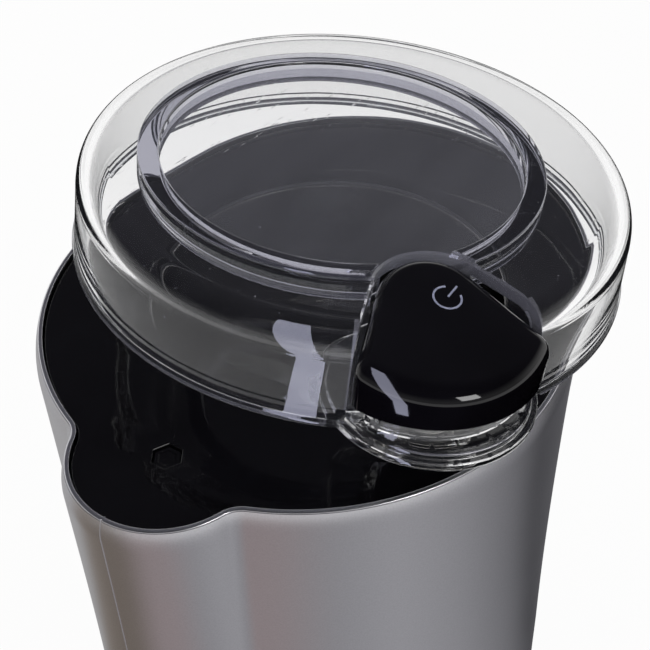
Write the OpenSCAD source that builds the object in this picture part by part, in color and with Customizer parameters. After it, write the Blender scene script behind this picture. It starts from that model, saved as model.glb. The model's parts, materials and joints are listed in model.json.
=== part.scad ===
// Electric spice grinder: oval body with one lobe, clear lid with a press button,
// bowl, blade, motor and switch train. Millimetres, +Z up, origin at the table on the
// axis of the round body and of the closed lid. The lobe of the body points to -Y.

/* [Body] */
// Height of the metal rim above the table
rim_z = 152; // [148:1:156]
// Radius of the round body at the rim
body_r = 48; // [47:0.5:49]
// Distance from the body axis to the centre of the rounded back
back_y = 16; // [14:0.5:17]
// Radius of the rounded back at the rim
back_r = 44.7; // [44:0.1:45.5]
// How far the rounded back draws in below the rim
back_in = 2.7; // [2.2:0.1:3]
// Distance from the body axis to the centre of the lobe
lobe_y = 41.3; // [41:0.1:42]
// Radius of the lobe at the rim
lobe_r = 16.5; // [16:0.25:17]
// Radius of the hollow corner between the round body and the lobe
fillet_r = 5; // [4:0.5:6]
// Distance from the body axis back to the spindle, bowl and motor
spindle_y = 8; // [7.5:0.5:8.5]
// Thickness of the metal sleeve
sleeve_t = 0.8; // [0.6:0.1:1]
// Height at which the sleeve ends on the plinth
plinth_z = 24; // [22:1:28]
// How far the plinth stands out from the rim outline
plinth_out = 2.6; // [2:0.2:3]
// Height of the feet and of the label pad under the base
foot_h = 2.5; // [2:0.5:3]

/* [Deck and bowl] */
// How far the deck lies below the metal rim
deck_drop = 1; // [0.8:0.1:1.2]
// Thickness of the deck
deck_t = 2.4; // [2:0.2:2.6]
// Inner radius of the bowl
bowl_r = 32.5; // [31:0.5:32.5]
// Inner depth of the bowl below the deck
bowl_depth = 36; // [34:1:36]
// Wall of the bowl
bowl_t = 0.6; // [0.5:0.1:0.8]
// Radius over the corners of the hexagonal switch hole
hex_r = 2.75; // [2.6:0.05:2.9]

/* [Lid] */
// Radius of the foot of the lid
lid_r = 48.2; // [47.5:0.1:48.4]
// Height of the lid
lid_h = 18.1; // [17.5:0.1:19]
// Wall of the lid
lid_t = 2.2; // [2:0.1:2.4]
// Outer radius of the raised ring round the window
ring_out_r = 34.45; // [34:0.05:35]
// Inner radius of the raised ring round the window
ring_in_r = 30.85; // [30:0.05:31.5]
// How far the ring lies to the side of the middle of the lid
ring_x = -2.6; // [-2.8:0.05:-2.2]
// How far the ring lies away from the lobe of the lid
ring_y = 0.6; // [0.4:0.05:1]
// Gap between the closed lid and the metal rim
lid_gap = 0.3; // [0.2:0.1:0.4]
// Turn of the lobe of the lid away from the lobe of the body
lid_turn = 49; // [0:1:90]
// Tilt of the lid as it stands
lid_tip = 7; // [0:0.5:10]
// Direction of the line that the lid tips about
tip_az = 150; // [0:5:355]
// Distance from the body axis to the tipping line
tip_out = 97; // [90:1:110]
// Drop of the tipping line below the foot of the closed lid
tip_drop = 69; // [60:1:75]

/* [Button] */
// Radius of the outer edge of the button about the lobe centre
button_r = 15.6; // [15.3:0.1:15.7]
// Centre of the rounded nose of the button
nose_y = 37.2; // [36.5:0.1:38]
// Radius of the rounded nose of the button
nose_r = 8.8; // [8.2:0.1:9.2]
// Half angle between the two straight sides of the button
nose_angle = 26; // [24:1:28]
// Slope of the top of the button
button_slope = 10.6; // [8:0.2:12]
// Travel of the button
button_travel = 3.5; // [3.2:0.1:3.5]

/* [Motor] */
// Half width of the stator
stator_half = 28; // [27:0.5:29]
// Height of the underside of the stator
stator_z = 66; // [64:1:68]
// Thickness of the stator
stator_h = 26; // [24:1:28]
// Radius of the shaft
shaft_r = 4; // [3.5:0.5:4]
// Reach of each blade arm
blade_r = 27; // [25:1:29]
// Radius of the armature
armature_r = 14.5; // [14:0.1:14.6]

/* [Hidden] */
$fn = 96;
eps = 0.01;

plinth_t = 2.4;
gland_z = 13;
gland_r = 5;
seat_half = 8.5;
seat_top = 21;
cord_r = 3.1;
cover_t = 2.4;
boss_r = 3.3;
boss_at = [[-39, -10.5], [39, -10.5], [-33, 30], [33, 30]];
foot_at = [[-20, 44], [20, 44], [-27, -27], [27, -27]];
vent_n = 9;

// Body outline: rounds at these shares of the way back make it an oval, and the hollow
// corner beside the lobe is a circle that touches the body and the lobe.
back_steps = [0.5, 1];
corner_far = body_r + fillet_r;
corner_near = lobe_r + fillet_r;
corner_y = (corner_far ^ 2 - corner_near ^ 2 + lobe_y ^ 2) / (2 * lobe_y);
corner_x = sqrt(corner_far ^ 2 - corner_y ^ 2);
// How far the hollow corner cuts into both circles, so that they cross cleanly
corner_bite = 0.05;
// Outermost point of the plinth at the back
base_back = back_y + back_r - back_in + plinth_out;
housing_in = 1.4;
housing_t = 2;
shelf_z = 104;
shelf_t = 2.5;
lead_hole = [-8, -46];

deck_z = rim_z - deck_drop;
deck_low = deck_z - deck_t;
gasket_t = 0.6;
bowl_top = deck_low - gasket_t;
bowl_floor = deck_z - bowl_depth;
bowl_flange_r = bowl_r + 2.5;
floor_round = 7;
spindle_hole_r = 5.6;

shaft_low = 30;
hub_z = bowl_floor + 2.4;
blade_z = hub_z + 3.4;
blade_t = 1.6;
nut_h = 5.4;
shaft_top = blade_z + blade_t + nut_h - 1.2;
run_gap = 0.05;
screw_xy = 22.5;
screw_r = 1.9;
bearing_r = 8;
lower_plate_z = 44;
upper_plate_z = stator_z + stator_h + 7.5;
plate_t = 2;
coil_over = 7;
coil_x_in = 9.2;
coil_x_out = 19;
coil_y_in = 13.3;
coil_y_out = 20.2;
winding_h = 5;
commutator_z = 48;
commutator_h = 10;
commutator_r = 8;
brush_z = 50.5;
brush_w = 5;
brush_hh = 6;
brush_reach = 17;
fan_z = 31;
fan_r = 26;

// Switch train under the hexagonal hole
guide_r = 3.9;
guide_bore = 3.3;
guide_low = 132.5;
plunger_top = deck_z - 0.6;
plunger_rod_r = 1.6;
plunger_low = 128.3;
collar_t = 1.3;
collar_r = 3.1;
switch_z = 114.4;
switch_w = 20;
switch_d = 6.4;
switch_h = 10.2;
lever_pivot = [-9.5, -lobe_y, 125.3];
lever_rise = 13.5;
lever_len = 14.5;
lever_t = 0.4;

// Lid frame: foot of the lid at z = 0, lobe to -Y
tip_axis = [cos(tip_az), sin(tip_az), 0];
tip_point = [tip_out * sin(tip_az), -tip_out * cos(tip_az), -tip_drop];
foot_h_lid = 2;
foot_in_r = 43.5;
seal_in_r = 43.6;
seal_out_r = 45.6;
seal_h = 0.8;
seal_gap = 0.05;
shoulder_r = 5.4;
wall_top_r = 47.2;
// The ring stands above the top of the lid and hangs below it as a short skirt
plate_top = lid_h - 0.6;
ring_low = lid_h - 5.6;
recess_gap = 0.6;
recess_wall = 1.6;
recess_floor = 2.2;
skirt_h = recess_floor + button_travel + 0.3;
flange_r = lobe_r - 0.2;
flange_t = 1.3;
step_r = flange_r - 1.1;
rail_gap = 2.2;
rail_t = 1.3;
rail_top = 7.3;
cap_t = 1.6;
pusher_r = 2;
pusher_low = -0.6;
pusher_tube_r = 3.4;
pusher_tube_top = 6.2;
post_r = 5.6;
post_low = 11;
button_spring_r = 4.4;
// How far the straight sides of the button start inside its nose
side_bite = 0.04;
cap_high = lid_h - 0.1;

function arc(cx, cz, r, a0, a1, n = 8) =
    [for (i = [0:n]) let (a = a0 + (a1 - a0) * i / n) [cx + r * cos(a), cz + r * sin(a)]];

// Outward swell of the sleeve over its height: rolled in at the rim, then a slight waist
function swell(z) =
    let (d = rim_z - z)
    d < 4 ? 0.9 * sin(22.5 * d)
        : 0.9 - 0.4 * sin(180 * min(1, (d - 4) / 80)) + 0.9 * max(0, (d - 60) / 68) ^ 2;
swell_levels = [0, 1, 2, 4, 14, 24, 44, 64, 84, 104, rim_z - plinth_z];

// Radius of the round at share s of the way back, and how much of its draw is reached at d
function round_r(s) = body_r + (back_r - body_r) * s;
function draw(d) = 1 - exp(-d / 18);

function profile(r, sign, inset, tuck) =
    [for (d = swell_levels) [r + sign * (swell(rim_z - d) - inset) - tuck * draw(d), rim_z - d]];

// ---------- Shared shapes ----------
module corner_kite() {
    polygon([[-corner_x, -corner_y], [0, -10], [corner_x, -corner_y], [0, -lobe_y]]);
}

module prism(grow, low, high, tuck = back_in) {
    h = high - low;
    translate([0, 0, low]) {
        cylinder(h = h, r = body_r + grow);
        for (s = back_steps) translate([0, back_y * s, 0]) cylinder(h = h, r = round_r(s) + grow - tuck * s);
        translate([0, -lobe_y, 0]) cylinder(h = h, r = lobe_r + grow);
        difference() {
            linear_extrude(h) corner_kite();
            for (side = [-1, 1]) translate([side * corner_x, -corner_y, -1])
                cylinder(h = h + 2, r = fillet_r - grow + corner_bite);
        }
    }
}

module swept(r, sign, inset, tuck = 0) {
    pts = profile(r, sign, inset, tuck);
    over = sign < 0 ? 2 : inset > 0 ? 1 : 0;
    first = pts[0][0];
    last = pts[len(pts) - 1][0];
    rotate_extrude() polygon(concat([[0, rim_z + over]], over > 0 ? [[first, rim_z + over]] : [], pts,
        over > 0 ? [[last, plinth_z - over]] : [], [[0, plinth_z - over]]));
}

module body_form(inset) {
    over = inset > 0 ? 1 : 0;
    swept(body_r, 1, inset);
    for (s = back_steps) translate([0, back_y * s, 0]) swept(round_r(s), 1, inset, back_in * s);
    translate([0, -lobe_y, 0]) swept(lobe_r, 1, inset);
    difference() {
        translate([0, 0, plinth_z - over]) linear_extrude(rim_z - plinth_z + 2 * over) corner_kite();
        for (side = [-1, 1]) translate([side * corner_x, -corner_y, 0])
            swept(fillet_r + corner_bite, -1, inset);
    }
}

module at_corners(r) {
    for (sx = [-1, 1], sy = [-1, 1]) translate([sx * r, sy * r, 0]) children();
}

module at_spindle() {
    translate([0, spindle_y, 0]) children();
}

module tube(low, high, r_out, r_in) {
    translate([0, 0, low]) difference() {
        cylinder(h = high - low, r = r_out);
        translate([0, 0, -1]) cylinder(h = high - low + 2, r = r_in);
    }
}

module wire(pts, r) {
    for (i = [0:len(pts) - 2]) {
        step = pts[i + 1] - pts[i];
        flat = norm([step.x, step.y]);
        translate(pts[i]) rotate([0, atan2(flat, step.z), atan2(step.y, step.x)])
            cylinder(h = norm(step), r = r, $fn = 16);
        translate(pts[i + 1]) sphere(r * 1.15, $fn = 16);
    }
}

// Round-wire spring along +Z, drawn as one closed sweep
module coil(r, wire_r, height, turns) {
    sides = 6;
    per_turn = 14;
    steps = per_turn * turns;
    function spot(i, j) = let (a = 360 * i / per_turn, b = 360 * j / sides, q = r + wire_r * cos(b))
        [q * cos(a), q * sin(a), wire_r + (height - 2 * wire_r) * i / steps + wire_r * sin(b)];
    polyhedron(
        points = [for (i = [0:steps], j = [0:sides - 1]) spot(i, j)],
        faces = concat([[for (j = [0:sides - 1]) j]],
            [for (i = [0:steps - 1], j = [0:sides - 1]) let (k = (j + 1) % sides)
                [i * sides + j, (i + 1) * sides + j, (i + 1) * sides + k, i * sides + k]],
            [[for (j = [sides - 1:-1:0]) steps * sides + j]]));
}

// Plan of the button, grown by g: a nose, two straight sides and the outer arc
module shield(g) {
    side_len = 40;
    c = cos(nose_angle);
    s = sin(nose_angle);
    r = nose_r + g;
    q = r - side_bite;
    translate([0, -lobe_y + 1.6]) intersection() {
        circle(button_r + g);
        translate([0, lobe_y - 1.6 - nose_y]) {
            circle(r);
            polygon([[q * c, q * s], [q * c + side_len * s, q * s - side_len * c],
                [-q * c - side_len * s, q * s - side_len * c], [-q * c, q * s]]);
        }
    }
}

module shield_prism(g, low, high) {
    translate([0, 0, low]) linear_extrude(high - low) shield(g);
}

module put_lid() {
    translate([0, 0, rim_z + lid_gap]) translate(tip_point) rotate(a = lid_tip, v = tip_axis)
        translate(-tip_point) rotate([0, 0, lid_turn]) children();
}

// ---------- Body and base ----------
module body_shell() {
    color("silver") difference() {
        body_form(0);
        body_form(sleeve_t);
    }
}

module plinth() {
    color([0.06, 0.06, 0.065]) difference() {
        prism(plinth_out, foot_h, plinth_z);
        prism(plinth_out - plinth_t, foot_h - 1, plinth_z - 2);
        prism(-housing_in, plinth_z - 3, plinth_z + 1);
        translate([-seat_half, base_back - 10, foot_h - 1]) cube([2 * seat_half, 20, seat_top - foot_h + 1]);
    }
}

// Closes the notch in the back of the plinth and holds the gland
module gland_seat() {
    out = base_back - back_y;
    half = seat_half - run_gap;
    color([0.06, 0.06, 0.065]) difference() {
        union() {
            intersection() {
                translate([0, back_y, 0]) tube(foot_h, seat_top - run_gap, out, out - plinth_t);
                translate([-half, base_back - 10, 0]) cube([2 * half, 20, seat_top]);
            }
            translate([0, base_back - 7, gland_z]) rotate([-90, 0, 0]) cylinder(h = 5, r = 7);
        }
        translate([0, base_back - 10, gland_z]) rotate([-90, 0, 0]) cylinder(h = 20, r = gland_r);
    }
}

module base_cover() {
    low = foot_h;
    color([0.08, 0.08, 0.085]) difference() {
        union() {
            prism(plinth_out - 2.55, low, low + cover_t);
            cylinder(h = low + cover_t, r = 11);
        }
        for (p = boss_at) translate([p.x, p.y, low - 1]) cylinder(h = cover_t + 2, r = 1.7);
        for (p = foot_at) translate([p.x, p.y, low - 1]) cylinder(h = cover_t + 2, r = 2.2);
        for (i = [0:vent_n - 1]) rotate([0, 0, 20 + 360 * i / vent_n])
            translate([15, -1.2, low - 1]) cube([10, 2.4, cover_t + 2]);
    }
}

module base_screws() {
    color("gray") for (p = boss_at) translate([p.x, p.y, foot_h - 1.6]) {
        difference() {
            cylinder(h = 1.6, r = 3);
            translate([-2, -0.4, -1]) cube([4, 0.8, 1.7]);
            translate([-0.4, -2, -1]) cube([0.8, 4, 1.7]);
        }
        translate([0, 0, 1.6]) cylinder(h = 12, r = 1.5);
    }
}

module rubber_feet() {
    color([0.15, 0.15, 0.15]) for (p = foot_at) translate([p.x, p.y, 0]) {
        cylinder(h = foot_h, r1 = 5.6, r2 = 6.4);
        translate([0, 0, foot_h]) cylinder(h = cover_t, r = 2.2);
        translate([0, 0, foot_h + cover_t]) cylinder(h = 1.2, r1 = 3, r2 = 2);
    }
}

module cable_gland() {
    out = base_back;
    color([0.1, 0.1, 0.1]) translate([0, 0, gland_z]) rotate([-90, 0, 0]) difference() {
        union() {
            translate([0, 0, out - 7]) cylinder(h = 7.2, r = gland_r);
            translate([0, 0, out]) cylinder(h = 1.8, r = gland_r + 1.4);
            translate([0, 0, out - 9]) cylinder(h = 2, r = gland_r + 1.2);
        }
        translate([0, 0, out - 12]) cylinder(h = 16, r = cord_r);
    }
}

module inner_housing() {
    low = foot_h + cover_t;
    inner = -housing_in - housing_t;
    ring_low = shelf_z + shelf_t;
    color([0.16, 0.16, 0.17]) {
        difference() {
            prism(-housing_in, plinth_z - 3, deck_low);
            prism(inner, plinth_z - 4, shelf_z);
            prism(inner, ring_low, deck_low + 1);
            at_spindle() translate([0, 0, shelf_z - 1]) cylinder(h = shelf_t + 2, r = 12.5);
            translate([lead_hole.x, lead_hole.y, shelf_z - 1]) cylinder(h = shelf_t + 2, r = 2.6);
            at_spindle() at_corners(screw_xy) translate([0, 0, shelf_z - 1])
                cylinder(h = shelf_t + 2, r = screw_r + run_gap);
        }
        at_spindle() tube(ring_low - eps, bowl_top - bowl_t, bowl_flange_r + 1, bowl_flange_r - 1);
        for (p = boss_at) translate([p.x, p.y, 0]) difference() {
            translate([0, 0, low]) cylinder(h = shelf_z - low + eps, r = boss_r);
            translate([0, 0, low - 1]) cylinder(h = 14, r = 1.5);
        }
    }
}

// ---------- Deck and bowl ----------
module deck() {
    color([0.03, 0.03, 0.035]) difference() {
        prism(-sleeve_t - 0.15, deck_low, deck_z, 0);
        translate([0, spindle_y, deck_low - 1]) cylinder(h = deck_t + 2, r = bowl_r + 0.3);
        translate([0, -lobe_y, deck_low - 1]) cylinder(h = deck_t + 2, r = hex_r, $fn = 6);
    }
}

module bowl_gasket() {
    color([0.3, 0.3, 0.32]) at_spindle() tube(bowl_top, deck_low, bowl_flange_r, bowl_r + 0.4);
}

module grinding_bowl() {
    t = bowl_t;
    r = bowl_r;
    z = bowl_floor;
    color([0.78, 0.79, 0.8]) at_spindle() rotate_extrude() polygon(concat(
        [[bowl_flange_r, bowl_top - t], [bowl_flange_r, bowl_top], [r, bowl_top]],
        arc(r - floor_round, z + floor_round, floor_round, 0, -90),
        [[spindle_hole_r + 5, z], [spindle_hole_r + 3, z + 1], [spindle_hole_r, z + 1]],
        [[spindle_hole_r, z + 1 - t], [spindle_hole_r + 3 + t / 2, z + 1 - t],
            [spindle_hole_r + 5, z - t]],
        arc(r - floor_round, z + floor_round, floor_round + t, -90, 0),
        [[r + t, bowl_top - t]]));
}

module shaft_seal() {
    z = bowl_floor + 1 - bowl_t;
    color([0.1, 0.1, 0.1]) at_spindle() difference() {
        union() {
            translate([0, 0, z - 2]) cylinder(h = 2, r = spindle_hole_r + 2);
            translate([0, 0, z - 2]) cylinder(h = 2 + bowl_t + 0.6, r = spindle_hole_r);
        }
        translate([0, 0, z - 3]) cylinder(h = 6, r = shaft_r + run_gap);
    }
}

// ---------- Motor ----------
module bracket_plate(z) {
    translate([0, 0, z]) linear_extrude(plate_t) difference() {
        union() {
            for (a = [45, 135]) rotate(a) square([2 * screw_xy * sqrt(2), 10], center = true);
            at_corners(screw_xy) circle(5.8);
            circle(14);
        }
        circle(bearing_r);
        at_corners(screw_xy) circle(screw_r + run_gap);
    }
}

module upper_bracket() {
    color([0.7, 0.7, 0.72]) at_spindle() {
        bracket_plate(upper_plate_z);
        at_corners(screw_xy) tube(stator_z + stator_h, upper_plate_z, 3.6, screw_r + run_gap);
    }
}

module lower_bracket() {
    color([0.7, 0.7, 0.72]) at_spindle() {
        bracket_plate(lower_plate_z);
        at_corners(screw_xy) tube(lower_plate_z + plate_t, stator_z, 3.6, screw_r + run_gap);
    }
}

module upper_bearing() {
    color([0.72, 0.55, 0.3]) at_spindle()
        tube(upper_plate_z - 2, upper_plate_z + 4, bearing_r, shaft_r + run_gap);
}

module lower_bearing() {
    color([0.72, 0.55, 0.3]) at_spindle()
        tube(lower_plate_z - 4, lower_plate_z + plate_t, bearing_r, shaft_r + run_gap);
}

module motor_dampers() {
    color([0.12, 0.12, 0.12]) at_spindle() at_corners(screw_xy)
        tube(upper_plate_z + plate_t, shelf_z, 5, screw_r + run_gap);
}

module motor_screws() {
    head = 2;
    color([0.6, 0.6, 0.62]) at_spindle() at_corners(screw_xy) {
        translate([0, 0, lower_plate_z - head]) difference() {
            cylinder(h = head, r = 3.4);
            translate([-2.4, -0.4, -1]) cube([4.8, 0.8, 1.8]);
        }
        translate([0, 0, lower_plate_z]) cylinder(h = shelf_z + shelf_t - lower_plate_z, r = screw_r);
    }
}

module stator_core() {
    color([0.42, 0.42, 0.44]) at_spindle() translate([0, 0, stator_z]) linear_extrude(stator_h) difference() {
        intersection() {
            square(2 * stator_half, center = true);
            circle(stator_half * 1.3);
        }
        circle(armature_r + 0.6);
        for (sx = [-1, 1], sy = [-1, 1]) scale([sx, sy]) translate([coil_x_in - 0.2, coil_y_in - 0.3])
            square([coil_x_out - coil_x_in + 0.6, coil_y_out - coil_y_in + 0.6]);
        at_corners(screw_xy) circle(screw_r + run_gap);
    }
}

module field_coils() {
    color([0.72, 0.38, 0.16]) at_spindle() for (side = [-1, 1])
        translate([0, side * (coil_y_in + coil_y_out) / 2, stator_z + stator_h / 2]) difference() {
            cube([2 * coil_x_out, coil_y_out - coil_y_in, stator_h + 2 * coil_over], center = true);
            cube([2 * coil_x_in, 20, stator_h + 0.4], center = true);
        }
}

module brush_holders() {
    z = lower_plate_z + plate_t;
    h = brush_z + brush_hh + 1.4 - z;
    color([0.2, 0.17, 0.14]) at_spindle() for (a = [0, 180]) rotate([0, 0, a]) difference() {
        translate([10.5, -5, z]) cube([15.5, 10, h]);
        translate([9, -brush_w / 2 - 0.1, brush_z - 0.1]) cube([16, brush_w + 0.2, brush_hh + 0.2]);
    }
}

module carbon_brushes() {
    color([0.15, 0.15, 0.15]) at_spindle() for (a = [0, 180]) rotate([0, 0, a]) difference() {
        translate([6, -brush_w / 2, brush_z]) cube([brush_reach - 6, brush_w, brush_hh]);
        translate([0, 0, brush_z - 1]) cylinder(h = brush_hh + 2, r = commutator_r + run_gap);
    }
}

module brush_springs() {
    color([0.75, 0.7, 0.5]) at_spindle() for (a = [0, 180]) rotate([0, 0, a])
        translate([brush_reach, 0, brush_z + brush_hh / 2]) rotate([0, 90, 0]) coil(1.8, 0.25, 7.8, 6);
}

module motor_shaft() {
    color([0.8, 0.8, 0.82]) at_spindle() {
        translate([0, 0, shaft_low]) cylinder(h = hub_z - shaft_low, r = shaft_r);
        translate([0, 0, hub_z]) cylinder(h = shaft_top - hub_z, r = shaft_r - 1);
    }
}

module armature_core() {
    slots = 12;
    color([0.5, 0.5, 0.52]) at_spindle() translate([0, 0, stator_z]) linear_extrude(stator_h) difference() {
        circle(armature_r);
        circle(shaft_r);
        for (i = [0:slots - 1]) rotate(360 * i / slots) {
            translate([10.2, 0]) circle(1.7);
            translate([10.2, -0.7]) square([6, 1.4]);
        }
    }
}

module armature_winding() {
    slots = 12;
    color([0.7, 0.4, 0.2]) at_spindle() {
        for (z = [stator_z - winding_h, stator_z + stator_h]) translate([0, 0, z]) rotate_extrude()
            polygon([[shaft_r, 0], [11, 0], [12.2, 1.4], [12.2, winding_h - 1.4], [11, winding_h],
                [shaft_r, winding_h]]);
        for (i = [0:slots - 1]) rotate([0, 0, 360 * i / slots]) translate([10.2, 0, stator_z - eps])
            cylinder(h = stator_h + 2 * eps, r = 1.6);
    }
}

module commutator() {
    bars = 12;
    color([0.8, 0.5, 0.3]) at_spindle() translate([0, 0, commutator_z]) linear_extrude(commutator_h)
        difference() {
            circle(commutator_r);
            circle(shaft_r);
            for (i = [0:bars - 1]) rotate(360 * (i + 0.5) / bars) translate([6.2, -0.25]) square([4, 0.5]);
        }
}

module cooling_fan() {
    vanes = 9;
    color([0.85, 0.85, 0.82]) at_spindle() difference() {
        translate([0, 0, fan_z]) {
            cylinder(h = 1.2, r = fan_r);
            cylinder(h = 7.5, r = 7);
            for (i = [0:vanes - 1]) rotate([0, 0, 360 * i / vanes]) translate([10, -0.6, 0])
                rotate([0, 0, 24]) cube([14, 1.2, 6.5]);
        }
        translate([0, 0, fan_z - 1]) cylinder(h = 12, r = shaft_r);
    }
}

// ---------- Blade ----------
module blade_hub() {
    color([0.65, 0.65, 0.67]) at_spindle() tube(hub_z, blade_z, 6.2, shaft_r - 1);
}

module blade() {
    flat = 12;
    tip_bend = [-14, 10];
    color([0.8, 0.81, 0.82]) at_spindle() translate([0, 0, blade_z]) difference() {
        union() {
            cylinder(h = blade_t, r = 7);
            for (i = [0, 1]) rotate([0, 0, 180 * i]) {
                translate([0, -5, 0]) cube([flat, 9, blade_t]);
                translate([flat - 0.5, -5, 0]) rotate([0, tip_bend[i], 0])
                    cube([blade_r - flat, 9, blade_t]);
            }
        }
        translate([0, 0, -1]) cylinder(h = blade_t + 2, r = shaft_r - 1);
        for (a = [0, 180]) rotate([0, 0, a]) translate([4, 2.6, -5]) rotate([0, 0, -4])
            cube([blade_r, 6, 20]);
    }
}

module blade_nut() {
    z = blade_z + blade_t;
    color([0.75, 0.75, 0.77]) at_spindle() difference() {
        union() {
            translate([0, 0, z]) cylinder(h = nut_h - 2.2, r = 5.2, $fn = 6);
            translate([0, 0, z + nut_h - 2.2]) cylinder(h = 2.2, r1 = 4.2, r2 = 2.6);
        }
        translate([0, 0, z - 1]) cylinder(h = nut_h - 0.2, r = shaft_r - 1);
    }
}

// ---------- Switch train ----------
module plunger_guide() {
    color([0.2, 0.2, 0.21]) translate([0, -lobe_y, 0]) difference() {
        translate([0, 0, guide_low]) cylinder(h = deck_low - guide_low, r = guide_r);
        translate([0, 0, guide_low + 1.5]) cylinder(h = deck_low, r = guide_bore);
        translate([0, 0, guide_low - 1]) cylinder(h = 4, r = plunger_rod_r + 0.08);
    }
}

module switch_plunger() {
    z = deck_low - 0.1;
    color([0.05, 0.05, 0.06]) translate([0, -lobe_y, 0]) {
        translate([0, 0, z]) cylinder(h = plunger_top - z, r = hex_r - 0.15, $fn = 6);
        translate([0, 0, z - collar_t]) cylinder(h = collar_t, r = collar_r);
        translate([0, 0, plunger_low]) cylinder(h = z - collar_t - plunger_low, r = plunger_rod_r);
    }
}

module plunger_spring() {
    z = guide_low + 1.5;
    color([0.7, 0.7, 0.72]) translate([0, -lobe_y, z]) coil(2.45, 0.28, deck_low - 0.1 - collar_t - z, 7);
}

module microswitch() {
    color([0.12, 0.12, 0.13]) translate([0, -lobe_y, switch_z]) difference() {
        union() {
            translate([-switch_w / 2, -switch_d / 2, 0]) cube([switch_w, switch_d, switch_h]);
            translate([-4.5, 0, switch_h]) cylinder(h = 0.4, r = 0.9);
            for (y = [-2.85, 1.85]) translate([lever_pivot.x - 0.5, y, switch_h]) cube([1.3, 1, 1.4]);
            for (x = [-7, 0, 7]) translate([x - 1.5, -0.25, -3.6]) cube([3, 0.5, 3.7]);
        }
        for (x = [-4.8, 4.8]) translate([x, 5, 3]) rotate([90, 0, 0]) cylinder(h = 10, r = 1.2);
    }
}

module switch_bracket() {
    back = -lobe_y + switch_d / 2;
    color([0.22, 0.22, 0.23]) difference() {
        union() {
            translate([-11, back, shelf_z + shelf_t]) cube([22, 1, 14]);
            for (x = [-4.8, 4.8]) translate([x, back + 1, switch_z + 3]) rotate([90, 0, 0])
                cylinder(h = switch_d + 1, r = 1.15);
        }
        for (x = [-6, 4]) translate([x, -lobe_y, shelf_z + shelf_t + 1]) cube([2, 8, 3]);
    }
}

module switch_lever() {
    color([0.7, 0.7, 0.72]) translate(lever_pivot) rotate([0, -lever_rise, 0]) {
        translate([0, -1.8, -lever_t / 2]) cube([lever_len, 3.6, lever_t]);
        translate([0, 1.8, 0]) rotate([90, 0, 0]) cylinder(h = 3.6, r = 0.45);
    }
}

module terminal_block() {
    color([0.8, 0.78, 0.7]) translate([-11, 12, foot_h + cover_t]) difference() {
        cube([22, 12, 9]);
        for (x = [5.5, 16.5]) {
            translate([x, 6, 3]) cylinder(h = 8, r = 2.2);
            translate([x, -1, 4.5]) rotate([-90, 0, 0]) cylinder(h = 14, r = 1.6);
        }
    }
}

module thermal_fuse() {
    color([0.82, 0.8, 0.7]) at_spindle() translate([-6, coil_y_out + 3.2, stator_z + stator_h + 2])
        rotate([0, 90, 0]) cylinder(h = 12, r = 2);
}

module internal_leads() {
    r = 0.9;
    block = [5.5, 18, foot_h + cover_t + 4.5];
    tag = [-7, -lobe_y, switch_z - 3.6 - r];
    side = spindle_y + 35;
    color([0.55, 0.1, 0.08]) {
        wire([[block.x, 26, block.z], [block.x, 38, block.z], [block.x + 12, side, 24],
            [block.x + 12, side, 98], [6, spindle_y + coil_y_out + 3.2, stator_z + stator_h + 2]], r);
        wire([[-block.x, 26, block.z], [-block.x, 40, block.z], [-36, 16, 28], [-34, -2, 60],
            [-33, -20, 96], [lead_hole.x, lead_hole.y, 100], [lead_hole.x, lead_hole.y, tag.z - 1],
            tag], r);
    }
}

// ---------- Lid ----------
function lid_outer() = concat(
    [[lid_r, 0], [lid_r, flange_t], [lid_r - 0.6, foot_h_lid]],
    arc(wall_top_r - shoulder_r, plate_top - shoulder_r, shoulder_r, 0, 90),
    [[0, plate_top]]);

function lid_inner() =
    let (r = wall_top_r - lid_t, z = plate_top - shoulder_r, q = shoulder_r - lid_t)
    concat([[foot_in_r, -1], [foot_in_r, foot_h_lid], [r + 0.3, foot_h_lid + 1]],
        arc(r - q, z, q, 0, 90),
        [[0, plate_top - lid_t], [0, -1]]);

module lid_dome() {
    rotate_extrude() polygon(concat([[0, 0]], lid_outer()));
}

module lid_ring() {
    edge = 0.2;
    translate([ring_x, ring_y, 0]) rotate_extrude() polygon([[ring_in_r, ring_low], [ring_out_r, ring_low],
        [ring_out_r, lid_h - edge], [ring_out_r - edge, lid_h], [ring_in_r + edge, lid_h],
        [ring_in_r, lid_h - edge]]);
}

module lid_shell() {
    color([0.85, 0.88, 0.9, 0.4]) put_lid() difference() {
        union() {
            difference() {
                union() {
                    difference() {
                        lid_dome();
                        rotate_extrude() polygon(lid_inner());
                    }
                    lid_ring();
                    intersection() {
                        lid_dome();
                        shield_prism(recess_gap + recess_wall, 0, lid_h + 1);
                    }
                    translate([0, -lobe_y + 1.2, 0]) cylinder(h = flange_t, r = flange_r);
                    translate([0, -lobe_y + 1.2, 0]) cylinder(h = recess_floor, r = step_r);
                }
                shield_prism(recess_gap, recess_floor, lid_h + 2);
            }
            difference() {
                shield_prism(-rail_gap, recess_floor - eps, rail_top);
                shield_prism(-rail_gap - rail_t, recess_floor, rail_top + 1);
            }
            translate([0, -lobe_y, recess_floor - eps])
                cylinder(h = pusher_tube_top - recess_floor, r = pusher_tube_r);
        }
        translate([0, -lobe_y, -1]) cylinder(h = 20, r = pusher_r + run_gap);
    }
}

module lid_seal() {
    color([0.9, 0.9, 0.9, 0.6]) put_lid() tube(-seal_h, -seal_gap, seal_out_r, seal_in_r);
}

// Everything under the sloping top of the button, lowered by d
module under_slope(d) {
    nose = nose_y - nose_r;
    translate([0, -nose, cap_high - d]) rotate([button_slope, 0, 0])
        translate([-40, -80, -60]) cube([80, 100, 60]);
}

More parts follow.
